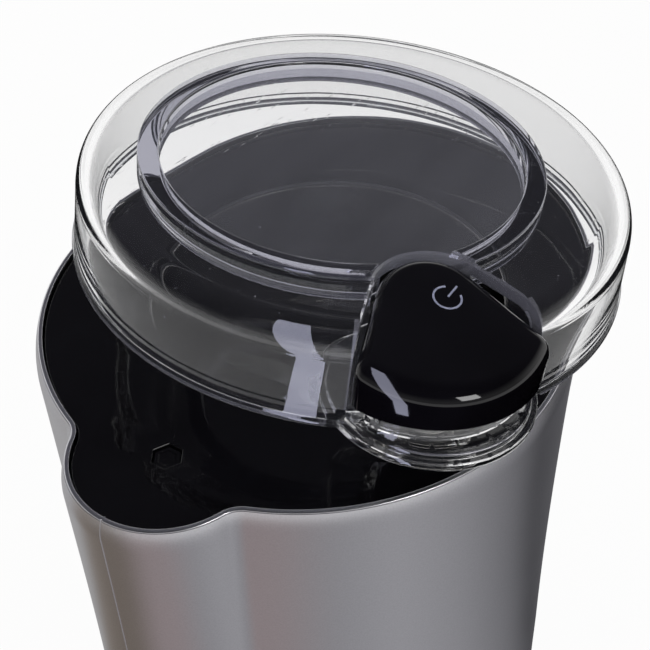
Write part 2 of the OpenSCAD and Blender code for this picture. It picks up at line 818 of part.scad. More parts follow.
module button_cap() {
    top = lid_h + 4;
    color([0.02, 0.02, 0.025]) put_lid() {
        difference() {
            intersection() {
                shield_prism(0, skirt_h, top);
                under_slope(0);
            }
            intersection() {
                shield_prism(-cap_t, skirt_h - 1, top);
                under_slope(cap_t + 0.2);
            }
        }
        translate([0, -lobe_y, 0]) difference() {
            translate([0, 0, post_low]) cylinder(h = 3.6, r = post_r);
            translate([0, 0, post_low - 1]) cylinder(h = 3, r = pusher_r);
        }
    }
}

module button_pusher() {
    color([0.1, 0.1, 0.11]) put_lid() translate([0, -lobe_y, pusher_low])
        cylinder(h = post_low + 2 - pusher_low, r = pusher_r);
}

module button_spring() {
    color([0.7, 0.7, 0.72]) put_lid() translate([0, -lobe_y, recess_floor])
        coil(button_spring_r, 0.35, post_low - recess_floor, 5);
}

body_shell();
plinth();
base_cover();
base_screws();
rubber_feet();
gland_seat();
cable_gland();
inner_housing();
deck();
bowl_gasket();
grinding_bowl();
shaft_seal();
upper_bracket();
lower_bracket();
upper_bearing();
lower_bearing();
motor_dampers();
motor_screws();
stator_core();
field_coils();
brush_holders();
carbon_brushes();
brush_springs();
motor_shaft();
armature_core();
armature_winding();
commutator();
cooling_fan();
blade_hub();
blade();
blade_nut();
plunger_guide();
switch_plunger();
plunger_spring();
microswitch();
switch_bracket();
switch_lever();
terminal_block();
thermal_fuse();
internal_leads();
lid_seal();
lid_shell();
button_cap();
button_pusher();
button_spring();
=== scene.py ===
import json
from math import asin, atan2, cos, exp, hypot, pi, radians, sin, sqrt, tan

import bmesh
import bpy
import numpy as np
from mathutils import Matrix, Vector


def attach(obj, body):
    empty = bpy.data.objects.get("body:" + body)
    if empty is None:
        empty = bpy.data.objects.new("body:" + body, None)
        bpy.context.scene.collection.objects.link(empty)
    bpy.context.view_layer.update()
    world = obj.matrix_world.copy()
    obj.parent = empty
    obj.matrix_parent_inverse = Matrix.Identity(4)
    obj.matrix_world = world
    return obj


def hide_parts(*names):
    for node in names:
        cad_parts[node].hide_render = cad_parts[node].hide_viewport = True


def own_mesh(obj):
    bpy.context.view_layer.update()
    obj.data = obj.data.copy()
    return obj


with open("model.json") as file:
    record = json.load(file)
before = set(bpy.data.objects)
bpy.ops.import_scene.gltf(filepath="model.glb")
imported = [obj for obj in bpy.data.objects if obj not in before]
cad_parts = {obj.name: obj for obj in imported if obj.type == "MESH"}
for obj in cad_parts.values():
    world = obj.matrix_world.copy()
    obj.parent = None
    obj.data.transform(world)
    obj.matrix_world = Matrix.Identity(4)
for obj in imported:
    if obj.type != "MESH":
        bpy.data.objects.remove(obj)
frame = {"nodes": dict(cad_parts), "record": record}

scene = bpy.context.scene
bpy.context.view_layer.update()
nodes = frame["nodes"]
mm = 0.001


def srgb(text):
    parts = [int(text[i:i + 2], 16) / 255 for i in (0, 2, 4)]
    return tuple(c / 12.92 if c <= 0.04045 else ((c + 0.055) / 1.055) ** 2.4 for c in parts) + (1.0,)


def addNode(tree, kind, settings=None, inputs=None):
    # an input takes a value, a socket, or a node, whose first output it is joined to
    node = tree.nodes.new(kind)
    for key, value in (settings or {}).items():
        setattr(node, key, value)
    for key, value in (inputs or {}).items():
        if isinstance(value, bpy.types.Node):
            value = value.outputs[0]
        if isinstance(value, bpy.types.NodeSocket):
            tree.links.new(value, node.inputs[key])
        else:
            node.inputs[key].default_value = value
    return node


# ---- camera: close, from about 43 degrees above
camera = {"place": (99.3, -143.7, 309.9), "look": (-0.552, 0.834), "down": 43.06, "roll": -0.0302,
    "lens": 72}

lookLength = hypot(*camera["look"])
down = radians(camera["down"])
forward = Vector((camera["look"][0] / lookLength * cos(down), camera["look"][1] / lookLength * cos(down),
    -sin(down)))
level = forward.cross(Vector((0, 0, 1))).normalized()
upright = level.cross(forward)
rollCos = sqrt(1 - camera["roll"] ** 2)
right = rollCos * level + camera["roll"] * upright
up = rollCos * upright - camera["roll"] * level
cameraData = bpy.data.cameras.new("viewCamera")
cameraData.lens = camera["lens"]
cameraData.sensor_width = 36
cameraData.clip_start = 0.01
cameraData.clip_end = 20
cameraObject = bpy.data.objects.new("viewCamera", cameraData)
scene.collection.objects.link(cameraObject)
turn = Matrix((right, up, -forward)).transposed().to_4x4()
cameraObject.matrix_world = Matrix.Translation(Vector(camera["place"]) * mm) @ turn
scene.camera = cameraObject
scene.view_settings.view_transform = "Standard"
print("camera ready")

# ---- studio: white room, pale floor, a leaning strip, a softbox in front and a big lamp overhead
studio = {
    "fill": 0.45, "ceiling": "48484f", "nearWall": 0.3, "floorColour": "f6f5f4", "floorGlow": 0.945,
    "cardGlow": 0.42,
    # name: direction from the object (degrees from +X), distance, height of the middle, width, height,
    # power, colour
    "strip": (288, 162, 190, 36, 385, 0.26, "e2e4ff"),
    "softbox": (340, 520, 330, 130, 150, 0.5, "ffffff"),
    "top": (150, 420, 760, 700, 700, 2.3, "ffffff"),
    # card on the floor that only reflections see: painted fields, direction (degrees from +X) and tone
    "cardIn": 52, "cardOut": 700,
    "tones": {"white": "ffffff", "bright": "ececf0", "pale": "d8d8dc", "grey": "a4a4a8", "slate": "78787c",
              "dark": "505054", "stone": "c0b4a8", "tan": "a89c90", "rose": "dccccc"},
    "card": [(0, "pale"), (30, "grey"), (45, "dark"), (60, "slate"), (75, "slate"), (90, "bright"),
             (100, "white"), (205, "white"), (220, "stone"), (240, "tan"), (255, "tan"), (275, "rose"),
             (290, "rose"), (310, "pale"), (335, "bright"), (360, "pale")],
}

world = bpy.data.worlds.new("whiteRoom")
scene.world = world
world.use_nodes = True
tree = world.node_tree
tree.nodes.clear()
ray = addNode(tree, "ShaderNodeLightPath")
coords = addNode(tree, "ShaderNodeTexCoord")
split = addNode(tree, "ShaderNodeSeparateXYZ", {}, {0: coords.outputs["Generated"]})
heightRamp = addNode(tree, "ShaderNodeValToRGB", {}, {0: split.outputs["Z"]})
ramp = heightRamp.color_ramp
ramp.elements[0].position = 0.12
ramp.elements[0].color = (1, 1, 1, 1)
ramp.elements[1].position = 0.42
ramp.elements[1].color = srgb(studio["ceiling"])
fill = addNode(tree, "ShaderNodeBackground", {}, {"Color": srgb("ffffff"), "Strength": studio["fill"]})
# the far wall of the room is white and the wall behind the camera is grey
facing = addNode(tree, "ShaderNodeVectorMath", {"operation": "DOT_PRODUCT"},
    {0: coords.outputs["Generated"], 1: (*camera["look"], 0)})
wallTone = addNode(tree, "ShaderNodeMapRange", {}, {
    "Value": facing.outputs["Value"], "From Min": -0.3, "From Max": 0.3, "To Min": studio["nearWall"],
    "To Max": 1.0})
mirrorRoom = addNode(tree, "ShaderNodeBackground", {}, {"Color": heightRamp, "Strength": wallTone})
white = addNode(tree, "ShaderNodeBackground", {}, {"Color": (1, 1, 1, 1), "Strength": 1.0})
mirrored = addNode(tree, "ShaderNodeMath", {"operation": "MAXIMUM"},
    {0: ray.outputs["Is Glossy Ray"], 1: ray.outputs["Is Transmission Ray"]})
room = addNode(tree, "ShaderNodeMixShader", {}, {0: mirrored, 1: fill, 2: mirrorRoom})
seen = addNode(tree, "ShaderNodeMixShader", {}, {0: ray.outputs["Is Camera Ray"], 1: room, 2: white})
addNode(tree, "ShaderNodeOutputWorld", {}, {"Surface": seen})


def placeLamp(name):
    angle, distance, height, wide, tall, power, colour = studio[name]
    data = bpy.data.lights.new(name, "AREA")
    data.shape = "RECTANGLE"
    data.size = wide * mm
    data.size_y = tall * mm
    data.energy = power
    data.color = srgb(colour)[:3]
    lamp = bpy.data.objects.new(name, data)
    scene.collection.objects.link(lamp)
    spot = Vector((cos(radians(angle)) * distance, sin(radians(angle)) * distance, height)) * mm
    aim = Vector((0, 0, 0.15)) - spot
    if name == "strip":
        aim.z = -0.284 * hypot(spot.x, spot.y)  # its top leans over the object
    lamp.matrix_world = Matrix.Translation(spot) @ aim.to_track_quat("-Z", "Y").to_matrix().to_4x4()
    lamp.visible_camera = False
    lamp.visible_transmission = False
    lamp.visible_glossy = name != "top"


for lampName in ("strip", "softbox", "top"):
    placeLamp(lampName)

floorMesh = bpy.data.meshes.new("floor")
floorMesh.from_pydata([(-4, -4, 0), (4, -4, 0), (4, 4, 0), (-4, 4, 0)], [], [(0, 1, 2, 3)])
floor = bpy.data.objects.new("floor", floorMesh)
scene.collection.objects.link(floor)
floorPaint = bpy.data.materials.new("paintedFloor")
floorPaint.use_nodes = True
tree = floorPaint.node_tree
tree.nodes.clear()
# Matt painted board; part of what is seen glows, so it stays white and still keeps a pale shadow
matt = addNode(tree, "ShaderNodeBsdfDiffuse", {}, {"Color": srgb(studio["floorColour"])})
glow = addNode(tree, "ShaderNodeEmission", {}, {"Color": (1, 1, 1, 1), "Strength": 1.0})
ray = addNode(tree, "ShaderNodeLightPath")
seenBy = ray.outputs["Is Camera Ray"]
for kind in ("Glossy", "Transmission"):
    seenBy = addNode(tree, "ShaderNodeMath", {"operation": "MAXIMUM"},
        {0: seenBy, 1: ray.outputs[f"Is {kind} Ray"]})
share = addNode(tree, "ShaderNodeMath", {"operation": "MULTIPLY"}, {0: seenBy, 1: studio["floorGlow"]})
both = addNode(tree, "ShaderNodeMixShader", {}, {0: share, 1: matt, 2: glow})
addNode(tree, "ShaderNodeOutputMaterial", {}, {"Surface": both})
floorMesh.materials.append(floorPaint)

# grey card with warmer and darker fields, for the reflections in the steel
cardVerts, cardFaces, cardTones = [], [], []
steps = 240
for k in range(steps):
    a = 2 * pi * k / steps
    for r in (studio["cardIn"], studio["cardOut"]):
        cardVerts.append((cos(a) * r * mm, sin(a) * r * mm, 0.4 * mm))
    degree = 360 * (k + 0.5) / steps
    n = (k + 1) % steps
    cardFaces.append((2 * k, 2 * k + 1, 2 * n + 1, 2 * n))
    for (fromTurn, fromTone), (toTurn, toTone) in zip(studio["card"], studio["card"][1:]):
        if fromTurn <= degree <= toTurn:
            share = (degree - fromTurn) / (toTurn - fromTurn)
            cardTones.append([x + (y - x) * share for x,
                y in zip(*(srgb(studio["tones"][tone]) for tone in (fromTone, toTone)))])
            break
cardMesh = bpy.data.meshes.new("reflectionCard")
cardMesh.from_pydata(cardVerts, [], cardFaces)
tones = cardMesh.color_attributes.new("tone", "FLOAT_COLOR", "CORNER")
for face, tone in zip(cardMesh.polygons, cardTones):
    for corner in face.loop_indices:
        tones.data[corner].color = tone
card = bpy.data.objects.new("reflectionCard", cardMesh)
scene.collection.objects.link(card)
cardPaint = bpy.data.materials.new("printedCard")
cardPaint.use_nodes = True
tree = cardPaint.node_tree
tree.nodes.clear()
tone = addNode(tree, "ShaderNodeAttribute", {"attribute_name": "tone"})
light = addNode(tree, "ShaderNodeEmission", {},
    {"Color": tone.outputs["Color"], "Strength": studio["cardGlow"]})
addNode(tree, "ShaderNodeOutputMaterial", {}, {"Surface": light})
cardMesh.materials.append(cardPaint)
for sight in ("camera", "diffuse", "transmission", "volume_scatter", "shadow"):
    setattr(card, "visible_" + sight, False)
print("studio ready")


# ---- finishes
def newFinish(name):
    finish = bpy.data.materials.new(name)
    finish.use_nodes = True
    finish.node_tree.nodes.clear()
    return finish, finish.node_tree


def speckle(tree, size, detail=2.0, stretch=(1, 1, 1)):
    # noise whose grains are about this many millimetres across
    spot = addNode(tree, "ShaderNodeTexCoord").outputs["Object"]
    if stretch != (1, 1, 1):
        spot = addNode(tree, "ShaderNodeMapping", {}, {"Vector": spot, "Scale": stretch})
    return addNode(tree, "ShaderNodeTexNoise", {}, {"Vector": spot, "Scale": 1000 / size, "Detail": detail})


def twoTone(tree, fac, dark, light, low=0.35, high=0.65):
    ramp = addNode(tree, "ShaderNodeValToRGB", {}, {0: fac})
    ramp.color_ramp.elements[0].position = low
    ramp.color_ramp.elements[0].color = srgb(dark)
    ramp.color_ramp.elements[1].position = high
    ramp.color_ramp.elements[1].color = srgb(light)
    return ramp


def surface(tree, inputs, height=None, depth=0.0):
    # height is the pattern of the relief and depth how many millimetres deep it goes
    if height:
        relief = addNode(tree, "ShaderNodeBump", {}, {"Height": height, "Distance": depth * mm})
        inputs = {**inputs, "Normal": relief}
    shader = addNode(tree, "ShaderNodeBsdfPrincipled", {}, inputs)
    addNode(tree, "ShaderNodeOutputMaterial", {}, {"Surface": shader})


def mouldedPlastic(name, dark, light, rough, grain, depth, ior=1.53):
    # injection moulded: the tool's texture shows as a fine even grain
    finish, tree = newFinish(name)
    fine = speckle(tree, grain)
    cloud = speckle(tree, grain * 24, 3)
    surface(tree, {
        "Base Color": twoTone(tree, cloud, dark, light),
        "Roughness": addNode(tree, "ShaderNodeMapRange", {},
            {"Value": cloud, "To Min": rough * 0.85, "To Max": rough * 1.15}),
        "IOR": ior}, fine, depth)
    return finish


def workedMetal(name, dark, light, rough, grain, depth, stretch=(1, 1, 1)):
    # rolled, turned or drawn metal: the tool marks run along one direction
    finish, tree = newFinish(name)
    lines = speckle(tree, grain, 3, stretch)
    cloud = speckle(tree, 9, 3)
    surface(tree, {
        "Base Color": twoTone(tree, cloud, dark, light, 0.3, 0.7), "Metallic": 1.0,
        "Roughness": addNode(tree, "ShaderNodeMapRange", {},
            {"Value": lines, "To Min": rough * 0.8, "To Max": rough * 1.25})}, lines, depth)
    return finish


def satinSteel():
    # stainless sheet, rolled, blasted to a satin and lacquered: soft reflections and a fine even sparkle
    finish, tree = newFinish("satinStainlessSteel")
    grit = speckle(tree, 0.28, 2)
    cloud = speckle(tree, 14, 4)
    surface(tree, {
        "Base Color": twoTone(tree, grit, "dddce0", "e6e5e9", 0.3, 0.7), "Metallic": 1.0,
        "Roughness": addNode(tree, "ShaderNodeMapRange", {},
            {"Value": cloud, "To Min": 0.27, "To Max": 0.33})}, grit, 0.004)
    return finish


def glossBlack():
    # black ABS from a polished tool: deep black with sharp reflections and faint flow marks
    finish, tree = newFinish("polishedBlackAbs")
    cloud = speckle(tree, 18, 3)
    dust = speckle(tree, 0.5, 1)
    surface(tree, {
        "Base Color": twoTone(tree, cloud, "060507", "0a090c"),
        "Roughness": addNode(tree, "ShaderNodeMapRange", {},
            {"Value": dust, "To Min": 0.035, "To Max": 0.075}),
        "IOR": 1.46}, cloud, 0.02)
    return finish


def clearPlastic(name, tint, rough, ior, scratch, haze, stretch=(1, 0.16, 1)):
    # clear SAN, moulded thick and polished: bends what is behind it; handling leaves hair scratches and a
    # film of dust
    finish, tree = newFinish(name)
    wave = speckle(tree, 16, 2)
    hair = speckle(tree, 0.9, 4, stretch)
    hairLine = addNode(tree, "ShaderNodeMapRange", {},
        {"Value": hair, "From Min": 0.66, "From Max": 0.74, "To Min": 0.0, "To Max": 1.0})
    height = addNode(tree, "ShaderNodeMath", {"operation": "MULTIPLY_ADD"},
        {0: hairLine, 1: -scratch, 2: wave})
    relief = addNode(tree, "ShaderNodeBump", {}, {"Height": height, "Distance": 0.012 * mm})
    glass = addNode(tree, "ShaderNodeBsdfPrincipled", {}, {
        "Base Color": srgb(tint), "Roughness": addNode(tree, "ShaderNodeMapRange", {},
            {"Value": hairLine, "To Min": rough, "To Max": rough + 0.12}),
        "Transmission Weight": 1.0, "IOR": ior, "Normal": relief})
    clear = addNode(tree, "ShaderNodeBsdfTransparent", {}, {"Color": srgb("e6e9e8")})
    ray = addNode(tree, "ShaderNodeLightPath")
    shown = glass
    if haze > 0:
        film = addNode(tree, "ShaderNodeMapRange", {},
            {"Value": speckle(tree, 7, 3, stretch), "To Min": haze * 0.6, "To Max": haze * 1.4})
        speck = addNode(tree, "ShaderNodeMapRange", {},
            {"Value": speckle(tree, 0.55, 1), "From Min": 0.76, "From Max": 0.8, "To Min": 0.0,
                "To Max": 0.25})
        dust = addNode(tree, "ShaderNodeMath", {"operation": "MAXIMUM"}, {0: film, 1: speck})
        veil = addNode(tree, "ShaderNodeBsdfDiffuse", {}, {"Color": srgb("d9d8e2")})
        shown = addNode(tree, "ShaderNodeMixShader", {}, {0: dust, 1: glass, 2: veil})
    mixed = addNode(tree, "ShaderNodeMixShader", {}, {0: ray.outputs["Is Shadow Ray"], 1: shown, 2: clear})
    addNode(tree, "ShaderNodeOutputMaterial", {}, {"Surface": mixed})
    return finish


def printedInk():
    # pad printed two-part ink: matt, slightly broken at its edges
    finish, tree = newFinish("padPrintedInk")
    cloud = speckle(tree, 0.6, 3)
    surface(tree, {"Base Color": twoTone(tree, cloud, "7d8093", "9497a9"),
        "Roughness": addNode(tree, "ShaderNodeMapRange", {},
            {"Value": cloud, "To Min": 0.4, "To Max": 0.55}), "IOR": 1.5})
    return finish


# a wave texture at scale 1 repeats every 2 pi / 20 of a metre; this one repeats every 0.5 mm
sheetWaves = 1000 / 0.5 / 20 * 3.1416


def laminatedIron():
    # punched sheets 0.5 mm thick, pressed into a stack: thin dark joints across the height
    finish, tree = newFinish("laminatedIron")
    spot = addNode(tree, "ShaderNodeTexCoord").outputs["Object"]
    sheets = addNode(tree, "ShaderNodeTexWave", {"bands_direction": "Z"},
        {"Vector": spot, "Scale": sheetWaves, "Distortion": 0.0})
    rust = speckle(tree, 5, 4)
    joint = addNode(tree, "ShaderNodeMapRange", {},
        {"Value": sheets.outputs["Fac"], "To Min": 0.55, "To Max": 1.0})
    shade = addNode(tree, "ShaderNodeMix", {"data_type": "RGBA"},
        {0: joint, 6: srgb("2d2c2c"), 7: twoTone(tree, rust, "6b6864", "7d7c7c")})
    surface(tree, {"Base Color": shade.outputs[2], "Metallic": 0.85, "Roughness": 0.42},
        sheets.outputs["Fac"], 0.03)
    return finish


def woundCopper():
    # enamelled wire 0.5 mm thick, wound side by side and varnished
    finish, tree = newFinish("enamelledCopperWire")
    spot = addNode(tree, "ShaderNodeTexCoord").outputs["Object"]
    strands = addNode(tree, "ShaderNodeTexWave", {"bands_direction": "Z"},
        {"Vector": spot, "Scale": sheetWaves, "Distortion": 1.2, "Detail": 1.0})
    # painted shade and highlight: the wire's colour runs dark in the grooves between turns and light on
    # their crowns, following the relief's wave
    surface(tree, {
        "Base Color": twoTone(tree, strands.outputs["Fac"], "5e2a12", "b5652f", 0.1, 0.9), "Metallic": 0.6,
        "Roughness": 0.3, "Coat Weight": 0.5}, strands.outputs["Fac"], 0.12)
    return finish


finishes = {
    "steel_sleeve": satinSteel(),
    "gloss_black": glossBlack(),
    # black PP of the base, spark-eroded tool: an even satin grain
    "satin_black": mouldedPlastic("sparkGrainedBlackPolypropylene", "0e0e10", "151517", 0.42, 0.35, 0.012),
    # glass-filled PA frame: dull, with pale fibre clouds
    "dark_frame": mouldedPlastic("glassFilledPolyamide", "1c1c1e", "2a2a2c", 0.55, 0.5, 0.02),
    "clear_lid": clearPlastic("clearSan", "fefefe", 0.004, 1.53, 0.2, 0.005),
    "clear_silicone": clearPlastic("clearSilicone", "eff0f2", 0.12, 1.42, 0.0, 0.05),
    # drawn stainless bowl: polished, faint rings
    "bowl_steel": workedMetal("drawnStainlessSteel", "8b8a89", "9a9998", 0.13, 0.6, 0.002, (1, 1, 6)),
    # blade blanked from hardened sheet and ground
    "blade_steel": workedMetal("groundBladeSteel", "b2b2b0", "c6c6c4", 0.22, 0.3, 0.004, (0.15, 1, 1)),
    "shaft_steel": workedMetal("turnedShaftSteel", "a3a2a0", "bab9b7", 0.2, 0.35, 0.003, (0.2, 0.2, 1)),
    "spring_steel": workedMetal("drawnSpringWire", "9b9a97", "b4b2ae", 0.24, 0.3, 0.003),
    "screw_steel": workedMetal("zincPlatedSteel", "a8aaac", "c2c4c6", 0.28, 0.4, 0.004),
    "bracket_zinc": workedMetal("galvanisedSheet", "8e9092", "b0b2b4", 0.38, 2.5, 0.006),
    "laminations": laminatedIron(),
    "copper_wire": woundCopper(),
    "commutator_copper": workedMetal("turnedCopper", "a25a34", "c67a4c", 0.28, 0.3, 0.005, (0.2, 0.2, 1)),
    "bronze": workedMetal("sinteredBronze", "7e5a2c", "a47b40", 0.45, 0.35, 0.015),
    # pressed carbon block
    "carbon": mouldedPlastic("pressedCarbon", "17171a", "232326", 0.5, 0.25, 0.02, 1.6),
    "soft_rubber": mouldedPlastic("blackRubber", "111112", "1a1a1b", 0.72, 0.4, 0.02),
    "grey_rubber": mouldedPlastic("greySiliconeRubber", "4c4d50", "5a5b5e", 0.6, 0.5, 0.012, 1.42),
    "fan_nylon": mouldedPlastic("naturalNylon", "c9c6b9", "d8d5c9", 0.4, 0.5, 0.01),
    "phenolic": mouldedPlastic("brownPhenolic", "2a1d13", "3b291b", 0.38, 0.4, 0.01, 1.6),
    "terminal_nylon": mouldedPlastic("creamNylon", "c8c2aa", "d6d1bc", 0.42, 0.5, 0.01),
    "fuse_body": mouldedPlastic("glazedCeramic", "cfc9b6", "dcd7c6", 0.22, 0.8, 0.006, 1.5),
    "lead_insulation": mouldedPlastic("redPvc", "6d100c", "861812", 0.4, 0.4, 0.006),
}
# parts of the lid's skin that look different: the rubbed window, the ring, whose grey-blue tint is painted
# shade for the dark deck seen through it, the drawn walls of the recess
lidFinishes = [
    clearPlastic("rubbedClearSan", "fefefe", 0.004, 1.53, 0.35, 0.038),
    # painted shade: the ring's grey-blue tint darkens it the way the dark deck seen through it does
    clearPlastic("smokeTintedSan", "b2b2be", 0.006, 1.53, 0.1, 0.008, (1, 1, 0.2)),
    clearPlastic("drawnClearSan", "f6f6fa", 0.03, 1.53, 0.8, 0.1, (1, 1, 0.15)),
]
print("finishes ready:", len(finishes) + len(lidFinishes))


# ---- shapes shared by several pieces
def roundPath(corners, steps=5, closed=True):
    # corners are (x, y, radius); every corner with a radius becomes an arc
    path = []
    count = len(corners)
    for i, (x, y, r) in enumerate(corners):
        if r <= 0 or (not closed and i in (0, count - 1)):
            path.append((x, y))
            continue
        here = Vector((x, y))
        back = Vector(corners[i - 1][:2]) - here
        ahead = Vector(corners[(i + 1) % count][:2]) - here
        half = back.angle(ahead) / 2
        reach = min(r / tan(half), back.length * 0.49, ahead.length * 0.49)
        r = reach * tan(half)
        centre = here + (back.normalized() + ahead.normalized()).normalized() * (r / sin(half))
        start = here + back.normalized() * reach - centre
        sweep = start.angle_signed(here + ahead.normalized() * reach - centre)
        for k in range(steps + 1):
            spoke = start.copy()
            spoke.rotate(Matrix.Rotation(-sweep * k / steps, 2))
            path.append(tuple(centre + spoke))
    return path


def wrap(loops, closeEnds=True, ring=False):
    # joins equal loops of points into one skin; ends become fans, or the last loop joins the first
    count = len(loops[0])
    verts = [p for loop in loops for p in loop]
    faces = []
    rows = len(loops)
    for i in range(rows if ring else rows - 1):
        j = (i + 1) % rows
        for k in range(count):
            n = (k + 1) % count
            faces.append((i * count + k, i * count + n, j * count + n, j * count + k))
    if closeEnds and not ring:
        for row, flip in ((0, True), (rows - 1, False)):
            middle = np.mean(np.array(loops[row], float), axis=0)
            verts.append(tuple(middle))
            hub = len(verts) - 1
            for k in range(count):
                a, b = row * count + k, row * count + (k + 1) % count
                faces.append((b, a, hub) if flip else (a, b, hub))
    return verts, faces


def lathe(path, segments=128, centre=(0, 0), ring=False):
    loops = [[(centre[0] + r * cos(2 * pi * k / segments), centre[1] + r * sin(2 * pi * k / segments), z)
              for k in range(segments)] for r, z in path]
    return wrap(loops, True, ring)


def skinPiece(name, mesh, angle, merge=1e-7):
    # merges doubled points, turns the faces outwards and shades them smooth up to an angle
    build = bmesh.new()
    build.from_mesh(mesh)
    if merge:
        bmesh.ops.remove_doubles(build, verts=build.verts, dist=merge)
    bmesh.ops.recalc_face_normals(build, faces=build.faces)
    build.to_mesh(mesh)
    build.free()
    piece = bpy.data.objects.new(name, mesh)
    scene.collection.objects.link(piece)
    smooth(piece, angle)
    return piece


def makePiece(name, shape, place=None, angle=30):
    verts, faces = shape
    mesh = bpy.data.meshes.new(name)
    mesh.from_pydata([tuple(c * mm for c in v) for v in verts], [], faces)
    if place is not None:
        mesh.transform(place)
    return skinPiece(name, mesh, angle)


def smooth(piece, angle=30):
    piece.data.polygons.foreach_set("use_smooth", [True] * len(piece.data.polygons))
    piece.data.set_sharp_from_angle(angle=radians(angle))
    piece.data.update()


def settle(piece):
    # bakes the modifiers into the mesh
    graph = bpy.context.evaluated_depsgraph_get()
    mesh = bpy.data.meshes.new_from_object(piece.evaluated_get(graph))
    piece.modifiers.clear()
    piece.data = mesh
    mesh.name = piece.name
    return piece


def carve(piece, other, how="DIFFERENCE"):
    cut = piece.modifiers.new(how.lower(), "BOOLEAN")
    cut.operation = how
    cut.solver = "EXACT"
    cut.object = other
    settle(piece)
    bpy.data.objects.remove(other)
    return piece


def finishPiece(piece, body, slotName, replaced=(), finish=None):
    piece.data.materials.clear()
    piece.data.materials.append(finish or finishes[slotName])
    for face in piece.data.polygons:
        face.material_index = 0
    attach(piece, body)
    if replaced:
        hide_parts(*replaced)
    return piece


# ---- body outline: an oval, a lobe towards -Y and two hollow corners
bodyPlan = {
    "bodyR": 48.0, "backY": 16.0, "backR": 44.7, "backIn": 2.7, "lobeY": 41.3, "lobeR": 16.5,
    "hollowR": 5.0,
    "rimZ": 152.0, "plinthZ": 24.0, "sideSteps": 40, "flatSteps": 6, "backSteps": 64, "lobeSteps": 56,
    "hollowSteps": 14,
}
cornerFar = bodyPlan["bodyR"] + bodyPlan["hollowR"]
cornerNear = bodyPlan["lobeR"] + bodyPlan["hollowR"]
cornerY = (cornerFar ** 2 - cornerNear ** 2 + bodyPlan["lobeY"] ** 2) / (2 * bodyPlan["lobeY"])
cornerX = sqrt(cornerFar ** 2 - cornerY ** 2)


def arcPoints(r, centre, start, end, steps):
    return [(centre[0] + r * cos(a), centre[1] + r * sin(a)) for a in np.linspace(start, end, steps + 1)]


def bodyLoop(grow, tuck=0.0, seam=None):
    # the outline at one height: grow sets it out, tuck draws the rounded back in, seam adds points beside
    # the lobe's apex
    plan = bodyPlan
    tilt = atan2(cornerY, cornerX)
    lobeTilt = atan2(plan["lobeY"] - cornerY, cornerX)
    sideR, backR, lobeR = plan["bodyR"] + grow, plan["backR"] + grow - tuck, plan["lobeR"] + grow
    lean = asin((sideR - backR) / plan["backY"])
    rightSide = arcPoints(sideR, (0, 0), -tilt, lean, plan["sideSteps"])
    back = arcPoints(backR, (0, plan["backY"]), lean, pi - lean, plan["backSteps"])
    leftSide = arcPoints(sideR, (0, 0), pi - lean, pi + tilt, plan["sideSteps"])
    flats = [[tuple(Vector(start).lerp(Vector(end), k / plan["flatSteps"]))
        for k in range(1, plan["flatSteps"])]
             for start, end in ((rightSide[-1], back[0]), (back[-1], leftSide[0]))]
    leftHollow = arcPoints(plan["hollowR"] - grow, (-cornerX, -cornerY), tilt, -lobeTilt,
        plan["hollowSteps"])
    rightHollow = arcPoints(plan["hollowR"] - grow, (cornerX, -cornerY), pi + lobeTilt, pi - tilt,
        plan["hollowSteps"])
    angles = list(np.linspace(pi - lobeTilt, 2 * pi + lobeTilt, plan["lobeSteps"] + 1))
    if seam:
        angles = sorted([a for a in angles if abs(a - 1.5 * pi) > radians(3)] + [1.5 * pi + radians(s)
            for s in seam])
    lobe = [(lobeR * cos(a), -plan["lobeY"] + lobeR * sin(a)) for a in angles]
    return rightSide + flats[0] + back + flats[1] + leftSide + leftHollow[1:] + lobe[1:] + rightHollow[1:-1]


def tuckAt(z):
    return bodyPlan["backIn"] * (1 - exp((z - bodyPlan["rimZ"]) / 18))


def lobed(path, ring=True, seam=None, tuck=tuckAt):
    # sweeps a section of (outset, height) round the body outline
    return wrap([[(x, y, z) for x, y in bodyLoop(grow, tuck(z), seam)] for grow, z in path], False, ring)


# ---- sleeve: rolled stainless sheet, butt seam down the lobe
sleeve = {"thick": 0.8, "edge": 0.28, "seamWide": 0.16, "seamDeep": 0.16, "levels": 64}


def swell(z):
    d = bodyPlan["rimZ"] - z
    if d < 4:
        return 0.9 * sin(radians(22.5 * d))
    return 0.9 - 0.4 * sin(pi * min(1, (d - 4) / 80)) + 0.9 * max(0, (d - 60) / 68) ** 2


top, bottom = bodyPlan["rimZ"], bodyPlan["plinthZ"] + 0.05
wallHeights = [top - sleeve["edge"] - (top - sleeve["edge"] - bottom) * (k / sleeve["levels"]) ** 1.5
    for k in range(sleeve["levels"] + 1)]
outer = [(swell(z), z) for z in wallHeights]
inner = [(swell(z) - sleeve["thick"], z) for z in wallHeights]
rolled = [(swell(top) - sleeve["edge"] * (1 - cos(a)), top - sleeve["edge"] * (1 - sin(a)))
    for a in np.linspace(0.2, pi / 2, 6)]
back = [(swell(top) - sleeve["thick"] + 0.15 * (1 - cos(a)), top - 0.15 * (1 - sin(a)))
    for a in np.linspace(pi / 2, 0, 4)]
section = outer[::-1] + rolled + back + inner
seamAngles = [-2.4, -1.6, -1.0, -0.75, -0.6, -0.5, -0.4, -0.3, 0.3, 0.4, 0.5, 0.6, 0.75, 1.0, 1.6, 2.4]
verts, faces = lobed(section, True, seamAngles)
shaped = []
apexR = bodyPlan["lobeR"]
for x, y, z in verts:
    turnFromSeam = abs(atan2(x, -(y + bodyPlan["lobeY"]))) * apexR if y < -bodyPlan["lobeY"] else 9
    dip = sleeve["seamDeep"] * max(0, 1 - (turnFromSeam / sleeve[
        "seamWide"]) ** 4) if turnFromSeam < sleeve["seamWide"] else 0
    shaped.append((x, y + dip, z))
sleevePiece = finishPiece(makePiece("steelSleeve", (shaped, faces), None, 40), "base", "steel_sleeve",
    ["body_shell"])
print("sleeve ready:", len(sleevePiece.data.polygons), "faces")

